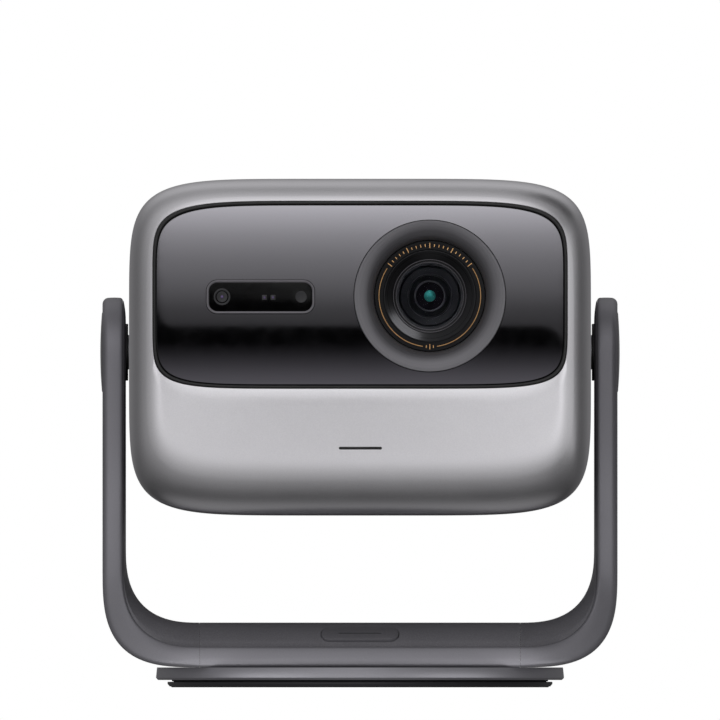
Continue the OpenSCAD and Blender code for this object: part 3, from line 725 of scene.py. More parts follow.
@dataclass
class Window:
    """The front window: rubber, black glass, and the sensor strip let into it."""

    head: Head
    lens_x: float = 32.4
    lens_z: float = 181.6
    glass_front: float = -100.4
    gasket: float = 1.55
    sensor_x: float = -46.2
    sensor_z: float = 181.2
    sensor_w: float = 50.2
    sensor_h: float = 15.6
    sensor_round: float = 5.2
    rim: float = 1.05

    def rubber(self) -> bpy.types.Object:
        """Lofts the gasket, with a small crown towards the front."""
        Bench.begin("window_rubber")
        section = [(-0.1, -95.6), (-0.1, -99.5), (-0.25, -99.85), (-0.6, -100.05), (-1.1, -100.05),
                   (-1.45, -99.85), (-self.gasket, -99.5), (-self.gasket, -95.6)]
        Bench.loft([upright(self.head.window(g), y, 0, self.head.window_middle)
                    for g, y in section], join_ends=True)
        return Bench.dress(Bench.close(), GASKET, "head", "rubber", "glass_gasket")

    def sensor_line(self, grow: float) -> list[tuple[float, float]]:
        """Outline of the sensor strip, grown by grow."""
        return pill(self.sensor_w + 2 * grow, self.sensor_h + 2 * grow,
                    self.sensor_round + grow)

    def glass(self) -> bpy.types.Object:
        """Lofts the glass with a polished bevel and cuts the lens and sensor openings."""
        Bench.begin("window_glass")
        front, back = self.glass_front, self.glass_front + 2.6
        section = [(-1.7, back), (-1.7, front + 0.4), (-1.8, front + 0.15), (-2.05, front)]
        Bench.loft([upright(self.head.window(g), y, 0, self.head.window_middle)
                    for g, y in section], cap_first=True, cap_last=True)
        glass = Bench.close()
        Bench.begin("lens_cutter")
        Bench.turn([(0, -110), (35.45, -110), (35.45, -90), (0, -90)],
                   (self.lens_x, 0, self.lens_z), "Y", 160, False)
        Bench.cut(glass, Bench.close())
        Bench.begin("sensor_cutter")
        Bench.loft([upright(self.sensor_line(0.2), y, self.sensor_x, self.sensor_z)
                    for y in (-110, -90)], cap_first=True, cap_last=True)
        Bench.cut(glass, Bench.close())
        return Bench.dress(glass, GLASS, "head", "window_glass", "front_glass", angle=20)

    def sensor_rim(self) -> bpy.types.Object:
        """Lofts the satin rim of the sensor strip."""
        Bench.begin("sensor_rim")
        front = self.glass_front - 0.15
        section = [(0.0, -95.6), (0.0, front + 0.2), (-0.12, front + 0.04), (-0.3, front),
                   (-self.rim + 0.3, front), (-self.rim + 0.08, front + 0.08),
                   (-self.rim, front + 0.3), (-self.rim, front + 1.0), (-self.rim - 1, front + 1.0),
                   (-self.rim - 1, -95.6)]
        Bench.loft([upright(self.sensor_line(g), y, self.sensor_x, self.sensor_z)
                    for g, y in section], join_ends=True)
        return Bench.dress(Bench.close(), SENSOR_RIM, "head", "bezel_metal", "sensor_bezel")

    def sensor_cover(self) -> bpy.types.Object:
        """Lofts the dark cover inside the rim."""
        Bench.begin("sensor_cover")
        front = self.glass_front + 0.1
        section = [(-self.rim - 0.08, front + 0.7), (-self.rim - 0.08, front + 0.25),
                   (-self.rim - 0.16, front + 0.06), (-self.rim - 0.32, front)]
        Bench.loft([upright(self.sensor_line(g), y, self.sensor_x, self.sensor_z)
                    for g, y in section], cap_first=True, cap_last=True)
        return Bench.dress(Bench.close(), GLASS, "head", "window_glass", "sensor_window",
                           angle=12)

    def eyes(self) -> None:
        """Turns the camera eye and the small eyes of the range finder."""
        face = self.glass_front + 0.1
        x, z = self.sensor_x - 17.8, self.sensor_z
        Bench.begin("camera_eye")
        Bench.turn([(0, face + 4), (3.9, face + 4), (3.9, face - 0.02), (3.55, face - 0.1),
                    (3.2, face - 0.06), (2.95, face + 0.02), (2.6, face + 0.02),
                    (2.35, face - 0.1), (2.0, face - 0.08), (1.2, face - 0.02), (0, face)],
                   (x, 0, z), "Y", 64, False)
        Bench.dress(Bench.close(), SLEEVE, "head", "barrel_metal", "camera_module", angle=20)
        Bench.begin("camera_pupil")
        Bench.turn([(0, face + 0.1), (0.8, face + 0.05), (0.75, face - 0.08), (0.4, face - 0.16),
                    (0, face - 0.18)], (x, 0, z), "Y", 40, False)
        Bench.dress(Bench.close(), EYE, "head", "lens_glass", angle=60)
        Bench.begin("range_eyes")
        for offset in (1.9, 5.9):
            line = pill(2.4, 2.4, 0.35, 6)
            Bench.loft([upright(line, face + 1.0, self.sensor_x + offset, z - 0.3),
                        upright(line, face - 0.03, self.sensor_x + offset, z - 0.3),
                        upright([(px * 0.85, pz * 0.85) for px, pz in line], face - 0.09,
                                self.sensor_x + offset, z - 0.3)],
                       cap_first=True, cap_last=True)
        Bench.turn([(0, face + 1), (2.7, face + 1), (2.7, face - 0.03), (2.5, face - 0.08),
                    (2.2, face - 0.03), (0, face - 0.02)], (self.sensor_x + 18.9, 0, z), "Y", 48,
                   False)
        Bench.dress(Bench.close(), SLEEVE, "head", "barrel_metal", "range_sensor", angle=20)
        Bench.begin("range_pupils")
        for offset in (1.9, 5.9):
            Bench.turn([(0, face), (0.5, face), (0.45, face - 0.12), (0, face - 0.16)],
                       (self.sensor_x + offset, 0, z - 0.3), "Y", 24, False)
        Bench.dress(Bench.close(), EYE, "head", "lens_glass", angle=60)

    def build(self) -> None:
        """Builds every piece of the window."""
        self.rubber()
        self.glass()
        self.sensor_rim()
        self.sensor_cover()
        self.eyes()


@dataclass
class Lens:
    """The projection lens: dish, scale ring, cell, glass and what is seen behind it."""

    x: float = 32.4
    z: float = 181.6

    def turned(self, name: str, profile: list[tuple[float, float]], steps: int = 160,
               join_ends: bool = True) -> bpy.types.Object:
        """Turns a piece about the optical axis.

        Args:
            name: The piece's name.
            profile: Radius and y of each point, in millimetres.
            steps: Points round the circle.
            join_ends: Leads the profile back to its start.

        Returns:
            The piece, not yet dressed.
        """
        Bench.begin(name)
        Bench.turn(profile, (self.x, 0, self.z), "Y", steps, join_ends)
        return Bench.close()

    def build(self) -> None:
        """Turns the pieces from the outside in."""
        dish = self.turned("lens_dish", [
            (35.2, -95.1), (35.2, -101.1), (35.12, -101.35), (34.9, -101.5), (34.2, -101.5),
            (33.2, -101.4), (32.0, -101.2), (30.8, -100.85), (29.7, -100.35), (28.7, -99.65),
            (27.8, -98.7), (27.1, -97.6), (26.6, -96.4), (26.2, -95.2), (26.0, -94.7),
            (26.0, -92.6), (30.8, -92.6), (30.8, -95.1)])
        Bench.dress(dish, BEZEL, "head", "bezel_metal", "lens_bezel", angle=30)
        scale = self.turned("scale_dial", [
            (25.8, -92.6), (25.8, -94.3), (25.5, -94.6), (23.85, -94.6), (23.8, -94.5),
            (23.8, -94.4), (23.4, -94.4), (23.4, -94.5), (23.35, -94.6), (21.7, -94.6),
            (21.4, -94.4), (21.4, -92.6)])
        Bench.dress(scale, RING, "head", "ring_black", "scale_ring", angle=30)
        self.wire()
        self.marks()
        cell = self.turned("lens_cell", [
            (21.3, -92.6), (21.3, -94.35), (21.15, -94.5), (20.9, -94.5), (20.7, -94.35),
            (17.3, -91.5), (17.15, -91.4), (16.95, -91.5), (16.6, -91.35), (16.3, -91.2),
            (16.0, -91.35), (15.75, -91.3), (15.75, -86.0), (14.6, -86.0), (14.6, -84.0),
            (18.9, -84.0), (18.9, -92.6)])
        Bench.dress(cell, CELL, "head", "barrel_metal", "front_cell", angle=22)
        dome = self.turned("front_lens", self.dome_profile(), 160, False)
        Bench.dress(dome, LENS_GLASS, "head", "lens_glass", "front_element", angle=40)
        sleeve = self.turned("lens_sleeve", [
            (18.8, -65.9), (18.8, -83.9), (14.4, -83.9), (14.0, -83.6), (13.2, -82.0),
            (10.3, -80.2), (9.9, -80.5), (9.6, -80.2), (9.3, -79.0), (7.4, -76.6),
            (6.9, -77.2), (6.5, -77.2), (6.3, -76.7), (6.3, -75.0), (7.2, -74.6), (7.2, -65.9)])
        Bench.dress(sleeve, SLEEVE, "head", "barrel_metal", "inner_sleeve", angle=22)
        pupil = self.turned("inner_lens", [
            (0, -77.2), (1.5, -77.16), (3.0, -77.0), (4.6, -76.7), (6.2, -76.25), (6.2, -74.9),
            (7.0, -74.4), (7.0, -74.0), (0, -74.0)], 96, False)
        Bench.dress(pupil, PUPIL, "head", "lens_glass", angle=40)
        deep = self.turned("deep_lens", [
            (0, -77.6), (1.0, -77.56), (1.9, -77.4), (2.6, -77.15), (2.6, -76.85), (0, -76.85)],
            64, False)
        Bench.dress(deep, DEEP, "head", "lens_glass", angle=40)
        Bench.begin("cell_lips")
        for radius, y, half in ((16.85, -91.5, 0.2), (15.6, -91.3, 0.18), (6.75, -77.3, 0.3),
                                (10.05, -80.45, 0.14)):
            Bench.turn([(radius + half * math.cos(t), y + half * math.sin(t))
                        for t in [math.pi * 2 * i / 10 for i in range(10)]],
                       (self.x, 0, self.z), "Y", 128)
        Bench.dress(Bench.close(0), SENSOR_RIM, "head", "barrel_metal", angle=60)

    def dome_profile(self) -> list[tuple[float, float]]:
        """Profile of the front lens: a dome in front and a shallow hollow behind."""
        front = []
        for i in range(13):
            radius = 15.7 * i / 12
            front.append((radius, -90.6 + 34 - math.sqrt(34 ** 2 - radius ** 2)))
        return front + [(15.7, -86.1), (12, -85.4), (8, -84.7), (4, -84.3), (0, -84.2)]

    def polar(self, radius: float, turn: float, y: float) -> Vector:
        """A place at a radius and angle about the optical axis, in metres."""
        angle = math.radians(turn)
        return Vector((self.x + radius * math.cos(angle), y,
                       self.z + radius * math.sin(angle))) * MM

    def wire(self) -> None:
        """Draws the gold line in two arcs, left open above and below for the ticks."""
        Bench.begin("accent_wire")
        section = [(23.44, -94.42), (23.44, -94.62), (23.5, -94.68), (23.7, -94.68),
                   (23.76, -94.62), (23.76, -94.42)]
        for start, end in ((-82, 33), (147, 262)):
            steps = 46
            Bench.loft([[self.polar(r, start + (end - start) * i / steps, y)
                         for r, y in section] for i in range(steps + 1)],
                       cap_first=True, cap_last=True)
        Bench.dress(Bench.close(), GOLD, "head", "accent", "accent_ring", angle=60)

    def marks(self) -> None:
        """Sets plain ticks on the scale ring, evenly over its upper arc, and three below."""
        Bench.begin("scale_marks")
        turns = [38 + 5.2 * i for i in range(21)] + [266, 270, 274]
        for number, turn in enumerate(turns):
            low, high = (22.3, 24.7) if number % 5 == 0 or turn == 270 else (22.9, 24.1)
            wide = math.degrees(0.17 / 23.6)
            line = [(low, turn - wide), (high, turn - wide), (high, turn + wide),
                    (low, turn + wide)]
            Bench.loft([[self.polar(r, t, y) for r, t in line] for y in (-94.5, -94.66)],
                       cap_first=True, cap_last=True)
        Bench.dress(Bench.close(0), GOLD, "head", "accent")


# ------------------------------------------------------------------ stand


@dataclass
class Stand:
    """The U-shaped stand: two arms, the bridge over the base and the liners inside."""

    arm_x: float = 119.5
    arm_t: float = 9.5
    arm_r: float = 25.3
    half_bridge: float = 63.5
    tilt_z: float = 155.5
    seam_x: float = 74.4
    low_outer: float = 9.25
    low_edge: float = 18.8
    low_crown: float = 30.05
    crown_arm: float = 1.4
    flare: float = 102.0
    edge_r: float = 3.0
    edge_marks: int = 9
    soft_edge_from: float = 8.2

    def corner(self, face: float, low: float, power: float, turn: float) -> tuple[float, float]:
        """A point of the curve from an arm's face round to the base, as x and z."""
        span = face - self.seam_x
        c, s = max(0.0, math.cos(turn)), max(0.0, math.sin(turn))
        return (self.seam_x + span * c ** (2 / power), low + span * (1 - s ** (2 / power)))

    def stations(self) -> list[tuple[Vector, Vector, Vector]]:
        """Outer, edge and crown points from the bridge's end up to the hinge."""
        edge_x = self.arm_x - self.arm_t
        crown_x = edge_x - self.crown_arm
        rows = []
        for i in range(29):
            turn = math.pi / 2 * (1 - i / 28)
            rows.append([self.corner(self.arm_x, self.low_outer, 3.05, turn),
                         self.corner(edge_x, self.low_edge, 2.55, turn),
                         self.corner(crown_x, self.low_crown, 2.6, turn)])
        for z in (66, 72, 78, 84, 90, 96, 102, 110, 118, 126, 134, 141, 148):
            rows.append([(self.arm_x, z), (edge_x, z), (crown_x, z)])
        return [tuple(Vector((x, 0, z)) for x, z in row) for row in rows]

    def half_depth(self, x: float, z: float) -> float:
        """Half depth of the stand where its outer face passes a point."""
        way = (self.arm_x - x + max(0.0, self.flare - z)) / \
            (self.arm_x - self.seam_x + self.flare - self.low_outer)
        return self.arm_r + (self.half_bridge - self.arm_r) * way * way * (3 - 2 * way)

    @staticmethod
    def sink(share: float, width: float) -> tuple[float, float]:
        """Distance from the edge and crown height, for a share of the crown's band."""
        band = 20.0 if width > 40 else width * 0.45
        return band * share, 1 - (1 - share) ** 2

    def rows(self) -> list[tuple[Vector, Vector, Vector, float, Vector | None]]:
        """Stations up the front, over the round top and down the rear.

        Returns:
            Outer, edge and crown point, the half depth, and for the round top its direction.
        """
        line = self.stations()
        sides = []
        for o, e, c in line:
            sides.append((o, e, c, self.half_depth(o.x, o.z), None))
        up = Vector((0, 0, self.tilt_z))
        top = []
        for i in range(33):
            turn = math.pi * i / 32
            way = Vector((0, -math.cos(turn), math.sin(turn)))
            top.append((Vector((self.arm_x, 0, 0)) + up,
                        Vector((self.arm_x - self.arm_t, 0, 0)) + up,
                        Vector((self.arm_x - self.arm_t - self.crown_arm, 0, 0)) + up,
                        self.arm_r, way))
        return sides + top + [(o, e, c, -w, None) for o, e, c, w, _ in reversed(sides)]

    def place(self, row: tuple, inset: float, height: float, crown: float,
              share: float | None = None) -> Vector:
        """Places a point of the arm's skin.

        Args:
            row: One of the rows.
            inset: Distance inwards from the outline, in millimetres.
            height: Distance from the outer face towards the inner, in millimetres.
            crown: Share of the way from the edge to the crown.
            share: If given, the point lies at this share of the half depth instead of inset.

        Returns:
            The place in metres.
        """
        o, e, c, width, way = row
        through = (e - o).normalized()
        start = o + through * height if height < 3.6 else e - through * (self.arm_t - height)
        spot = start + (c - e) * crown
        reach = abs(width) * share if share is not None else abs(width) - inset
        if way is not None:
            spot = spot + way * reach
        else:
            spot = spot + Vector((0, -math.copysign(reach, width), 0))
        return spot * MM

    def skin(self, path: list[tuple]) -> list[list[Vector]]:
        """Rings of the painted channel: outer face, edge strip, groove, front face, hollow."""
        marks: list[tuple[float | None, float, float | None]] = [
            (None, 0, 0.0), (None, 0, 0.5), (None, 0, 0.85)]
        rounded = range(len(marks), len(marks) + self.edge_marks)
        for i in range(self.edge_marks):
            turn = math.pi / 16 * i
            marks.append((self.edge_r * (1 - math.sin(turn)),
                          self.edge_r * (1 - math.cos(turn)), None))
        marks += [(-0.03, 3.45, None), (-0.08, 4.4, None), (-0.08, 6.0, None),
                  (-0.04, 7.2, None), (0.0, 8.1, None), (0.12, 8.6, None), (0.36, 9.0, None),
                  (0.72, 9.28, None), (1.1, 9.42, None)]
        hollow_from = len(marks)
        marks += [(2.6, 9.42, None), (2.6, 7.0, None), (2.6, 3.0, None)]
        marks += [(None, 3.0, 0.85), (None, 3.0, 0.5), (None, 3.0, 0.0)]
        rings = []
        for number, (inset, height, share) in enumerate(marks):
            ring = []
            for row in path:
                tight = 1 - 0.45 * self.straight(row) if number in rounded else 1
                inner_edge = height > self.soft_edge_from and number < hollow_from
                soft = 1 - 0.75 * self.based(row) if inner_edge else tight
                ring.append(self.place(row, (inset or 0) * soft + self.lean(row, height),
                                       height * tight, 0, share))
            rings.append(ring)
        return rings

    @staticmethod
    def based(row: tuple) -> float:
        """How far a row belongs to the base: 0 on the arms, 1 on the bridge."""
        return min(1.0, max(0.0, (abs(row[3]) - 44) / 16))

    def straight(self, row: tuple) -> float:
        """1 on the straight bridge, falling to 0 where an arm begins to rise."""
        return max(0.0, 1 - (row[0].x - self.seam_x) / 12)

    def lean(self, row: tuple, height: float) -> float:
        """How far the base's front face leans back at a height; the arms stay upright."""
        return 1.9 * self.based(row) * max(0.0, (height - 2.5) / 7) ** 2

    def lining(self, path: list[tuple]) -> list[list[Vector]]:
        """Rings of the liner: hidden back, rolled edge, crowned inner face."""
        rings = [[self.place(row, 0, self.arm_t - 2.0, 1.0, share) for row in path]
                 for share in (0.0, 0.4)]
        for part in (1.0, 0.6, 0.3):
            ring = []
            for row in path:
                inset, crown = self.sink(part, abs(row[3]))
                ring.append(self.place(row, inset + 1, self.arm_t - 2.0, crown))
            rings.append(ring)
        for inset, height in ((4.6, 7.3), (3.9, 8.0), (2.8, 9.44), (1.25, 9.46), (1.12, 9.5),
                              (1.3, 9.56)):
            rings.append([self.place(row, inset * (1 if inset > 2 else 1 - 0.75 * self.based(row))
                                     + self.lean(row, height), height, 0) for row in path])
        for part in (0.1, 0.16, 0.24, 0.34, 0.46, 0.6, 0.78, 1.0):
            ring = []
            for row in path:
                inset, crown = self.sink(part, abs(row[3]))
                base = self.lean(row, self.arm_t) * (1 - part) ** 2
                edge = 1.5 - 1.1 * self.based(row)
                ring.append(self.place(row, max(inset, edge) + base, self.arm_t, crown))
            rings.append(ring)
        rings += [[self.place(row, 0, self.arm_t, 1.0, share) for row in path]
                  for share in (0.35, 0.0)]
        return rings

    def strip(self, name: str, rings: list[list[Vector]], side: int) -> bpy.types.Object:
        """Lofts an arm piece from its rings and closes its end at the bridge.

        Args:
            name: The piece's name.
            rings: Its rings, for the right side.
            side: 1 for right, -1 for left.

        Returns:
            The piece, not yet dressed.
        """
        Bench.begin(name)
        end = self.seam_x + 0.07
        placed = [[Vector((side * (end * MM if p.x < end * MM else p.x), p.y, p.z))
                   for p in ring] for ring in rings]
        Bench.loft(placed, open_chain=True)
        Bench.fill_end(side * end * MM, 0)
        return Bench.close()

    def bores(self, piece: bpy.types.Object, side: int,
              bores: tuple[tuple[float, float, float], ...]) -> None:
        """Drills round holes about the hinge axis: radius, from x, to x."""
        for radius, x0, x1 in bores:
            Bench.begin("drill")
            Bench.turn([(0, side * x0), (radius, side * x0), (radius, side * x1), (0, side * x1)],
                       (0, 0, self.tilt_z), "X", 96, False)
            Bench.cut(piece, Bench.close())

    def arms(self) -> None:
        """Builds both arms and their liners."""
        path = self.rows()
        for side, name in ((1, "right"), (-1, "left")):
            arm = self.strip(f"{name}_arm_cover", self.skin(path), side)
            self.bores(arm, side, ((11.4, 100, 130), (18.72, 117.9, 125)))
            Bench.dress(arm, GREY, "stand", "stand_metal", f"{name}_arm", angle=28)
            liner = self.strip(f"{name}_arm_lining", self.lining(path), side)
            self.bores(liner, side, ((13.4, 100, 112),))
            Bench.dress(liner, LINER, "stand", "liner_plastic", f"{name}_liner", angle=28)

    def bridge(self) -> None:
        """Builds the straight bridge and its liner, between the two arms."""
        first = self.stations()[0]
        width = self.half_depth(first[0].x, first[0].z)
        for name, maker, finish, slot, node in (
                ("base_bridge_cover", self.skin, GREY, "stand_metal", "base_bridge"),
                ("base_lining", self.lining, LINER, "liner_plastic", "base_liner")):
            front = [(*first, width, None)]
            rear = [(*first, -width, None)]
            section = [ring[0] for ring in maker(front)] + \
                [ring[0] for ring in reversed(maker(rear))][1:]
            points = []
            for p in section:
                if not points or (p - points[-1]).length > 1e-7:
                    points.append(p)
            if (points[0] - points[-1]).length < 1e-7:
                points.pop()
            Bench.begin(name)
            Bench.loft([[Vector((x * MM, p.y, p.z)) for p in points]
                        for x in (-self.seam_x + 0.07, -30, 0, 30, self.seam_x - 0.07)],
                       cap_first=True, cap_last=True)
            piece = Bench.close()
            if node == "base_bridge":
                Bench.begin("drill")
                Bench.turn([(0, 55), (3.6, 55), (3.6, 70), (0, 70)], (0, 0, 13.6), "Y", 48, False)
                Bench.cut(piece, Bench.close())
                Bench.begin("post_drill")
                Bench.turn([(0, 5), (18, 5), (18, 15), (0, 15)], (0, 0, 0), "Z", 64, False)
                Bench.cut(piece, Bench.close())
            else:
                Bench.cut(piece, PowerButton().cutter())
            Bench.dress(piece, finish, "stand", slot, node, angle=28)

    def seals(self) -> None:
        """Fills the hairline joints beside the bridge with thin dark rubber plates."""
        first = self.stations()[0]
        width = self.half_depth(first[0].x, first[0].z)
        halves = []
        for sign in (1, -1):
            row = (*first, sign * width, None)
            half = [self.place(row, inset + self.lean(row, height), height, 0)
                    for inset, height in
                    ((8.0, 0.25), (2.2, 0.3), (1.4, 0.55), (0.8, 0.9), (0.45, 1.4), (0.32, 2.2),
                     (0.28, 5.0), (0.4, 8.1), (0.75, 8.8), (1.5, 9.2))]
            for part in (0.16, 0.34, 0.6, 1.0):
                inset, crown = self.sink(part, width)
                half.append(self.place(row, inset + 0.3 + self.lean(row, 9.5) * (1 - part) ** 2,
                                       self.arm_t - 0.35, crown))
            halves.append(half)
        section = halves[0] + list(reversed(halves[1]))
        Bench.begin("joint_seals")
        for side in (-1, 1):
            Bench.loft([[Vector((side * (self.seam_x + x) * MM, p.y, p.z)) for p in section]
                        for x in (-0.065, 0.065)], cap_first=True, cap_last=True)
        Bench.dress(Bench.close(0), GASKET, "stand", "rubber", angle=20)

    def caps(self) -> None:
        """Turns the hinge caps, slightly domed with a fine ring near the edge."""
        Bench.begin("hinge_cap_pair")
        for side in (-1, 1):
            profile = [(0, 117.9), (18.6, 117.9), (18.6, 119.35), (18.4, 119.62), (17.9, 119.78)]
            profile += [(r, 120.5 - 0.72 * (r / 17.9) ** 2) for r in (16, 13, 10, 7, 4, 2)]
            profile += [(0, 120.5)]
            Bench.turn([(r, side * x) for r, x in profile], (0, 0, self.tilt_z), "X", 128, False)
        Bench.dress(Bench.close(), CAP, "stand", "cap_metal", "hinge_caps", angle=40)
        Bench.dress(Bench.refine("hinge_washers", "hinge_spacers", 0.3), BLACK, "stand",
                    "black_plastic", "hinge_washers")

    def base(self) -> None:
        """Rounds the turntable, the foot and its pad, and sets the lip under the turntable."""
        Bench.dress(Bench.refine("turntable", "turntable_disc", 0.3), GREY, "stand",
                    "stand_metal", "turntable", angle=30)
        Bench.begin("dust_lip")
        Bench.turn([(86.75, 3.6), (86.75, 2.85), (87.0, 2.8), (87.3, 2.9), (87.3, 3.6)],
                   (0, 0, 0), "Z", 192)
        Bench.dress(Bench.close(), RUBBER, "stand", "rubber", angle=50)
        Bench.dress(Bench.refine("foot_plate", "foot_disc", 0.3), FOOT, "foot", "foot_paint",
                    "foot_plate", angle=30)
        Bench.dress(Bench.refine("foot_pad", "foot_rubber", 0.3), RUBBER, "foot", "rubber",
                    "foot_pad", angle=30)
        Bench.dress(Bench.refine("dc_inlet", "power_socket", 0.2), BLACK, "stand",
                    "black_plastic", "dc_inlet", angle=30)

    def build(self) -> None:
        """Builds the stand."""
        self.arms()
        self.bridge()
        self.seals()
        self.caps()
        self.base()


@dataclass
class PowerButton:
    """The pill-shaped button on the base's front slope, with its light slot."""

    width: float = 36.0
    height: float = 9.4
    end: float = 4.4
    y: float = -56.8
    z: float = 25.15
    tilt: float = 36.7
    gap: float = 0.3

    def slope(self) -> Matrix:
        """Puts a shape drawn flat in X and Y on the slope."""
        return Matrix.Translation((0, self.y * MM, self.z * MM)) @ \
            Matrix.Rotation(math.radians(self.tilt), 4, "X")

    def rings(self, section: list[tuple[float, float]]) -> list[list[Vector]]:
        """Rings of the pill on the slope, for pairs of growth and height."""
        rings = []
        for grow, up in section:
            line = pill(self.width + 2 * grow, self.height + 2 * grow, self.end + grow, 16)
            rings.append([self.slope() @ (Vector((x, y, up)) * MM) for x, y in line])
        return rings

    def cutter(self) -> bpy.types.Object:
        """The tool body that opens the liner for the button."""
        Bench.begin("button_cutter")
        Bench.loft(self.rings([(self.gap, -8), (self.gap, 8)]), cap_first=True, cap_last=True)
        return Bench.close()

    def build(self) -> None:
        """Lofts the button with a soft edge and sets the light guide into it."""
        Bench.begin("power_button_cap")
        Bench.loft(self.rings([(0, -3), (0, -0.5), (-0.15, -0.15), (-0.5, 0.0)]),
                   cap_first=True, cap_last=True)
        button = Bench.close()
        Bench.begin("slot_cutter")
        bar = pill(20.2, 0.8, 0.39, 6)
        Bench.loft([[self.slope() @ (Vector((x, y, up)) * MM) for x, y in bar]
                    for up in (-0.5, 2.0)], cap_first=True, cap_last=True)
        Bench.cut(button, Bench.close())
        Bench.dress(button, BUTTON, "button", "button_plastic", "power_button", angle=30)
        Bench.begin("light_guide")
        inner = pill(20.0, 0.6, 0.29, 6)
        Bench.loft([[self.slope() @ (Vector((x, y, up)) * MM) for x, y in inner]
                    for up in (-0.5, -0.2, -0.12)], cap_first=True, cap_last=True)
        Bench.dress(Bench.close(), LIGHT, "button", "button_plastic", angle=30)


@dataclass
class Ports:
    """Sockets at the rear of the head, with softened edges."""

    def build(self) -> None:
        """Rounds the socket shells and the audio jack."""
        Bench.dress(Bench.refine("port_block", "socket_shells", 0.15), PORT, "head",
                    "port_metal", "port_block", angle=30)
        Bench.dress(Bench.refine("audio_jack", "audio_socket", 0.2), BLACK, "head",
                    "black_plastic", "audio_jack", angle=30)


# ------------------------------------------------------------------ studio


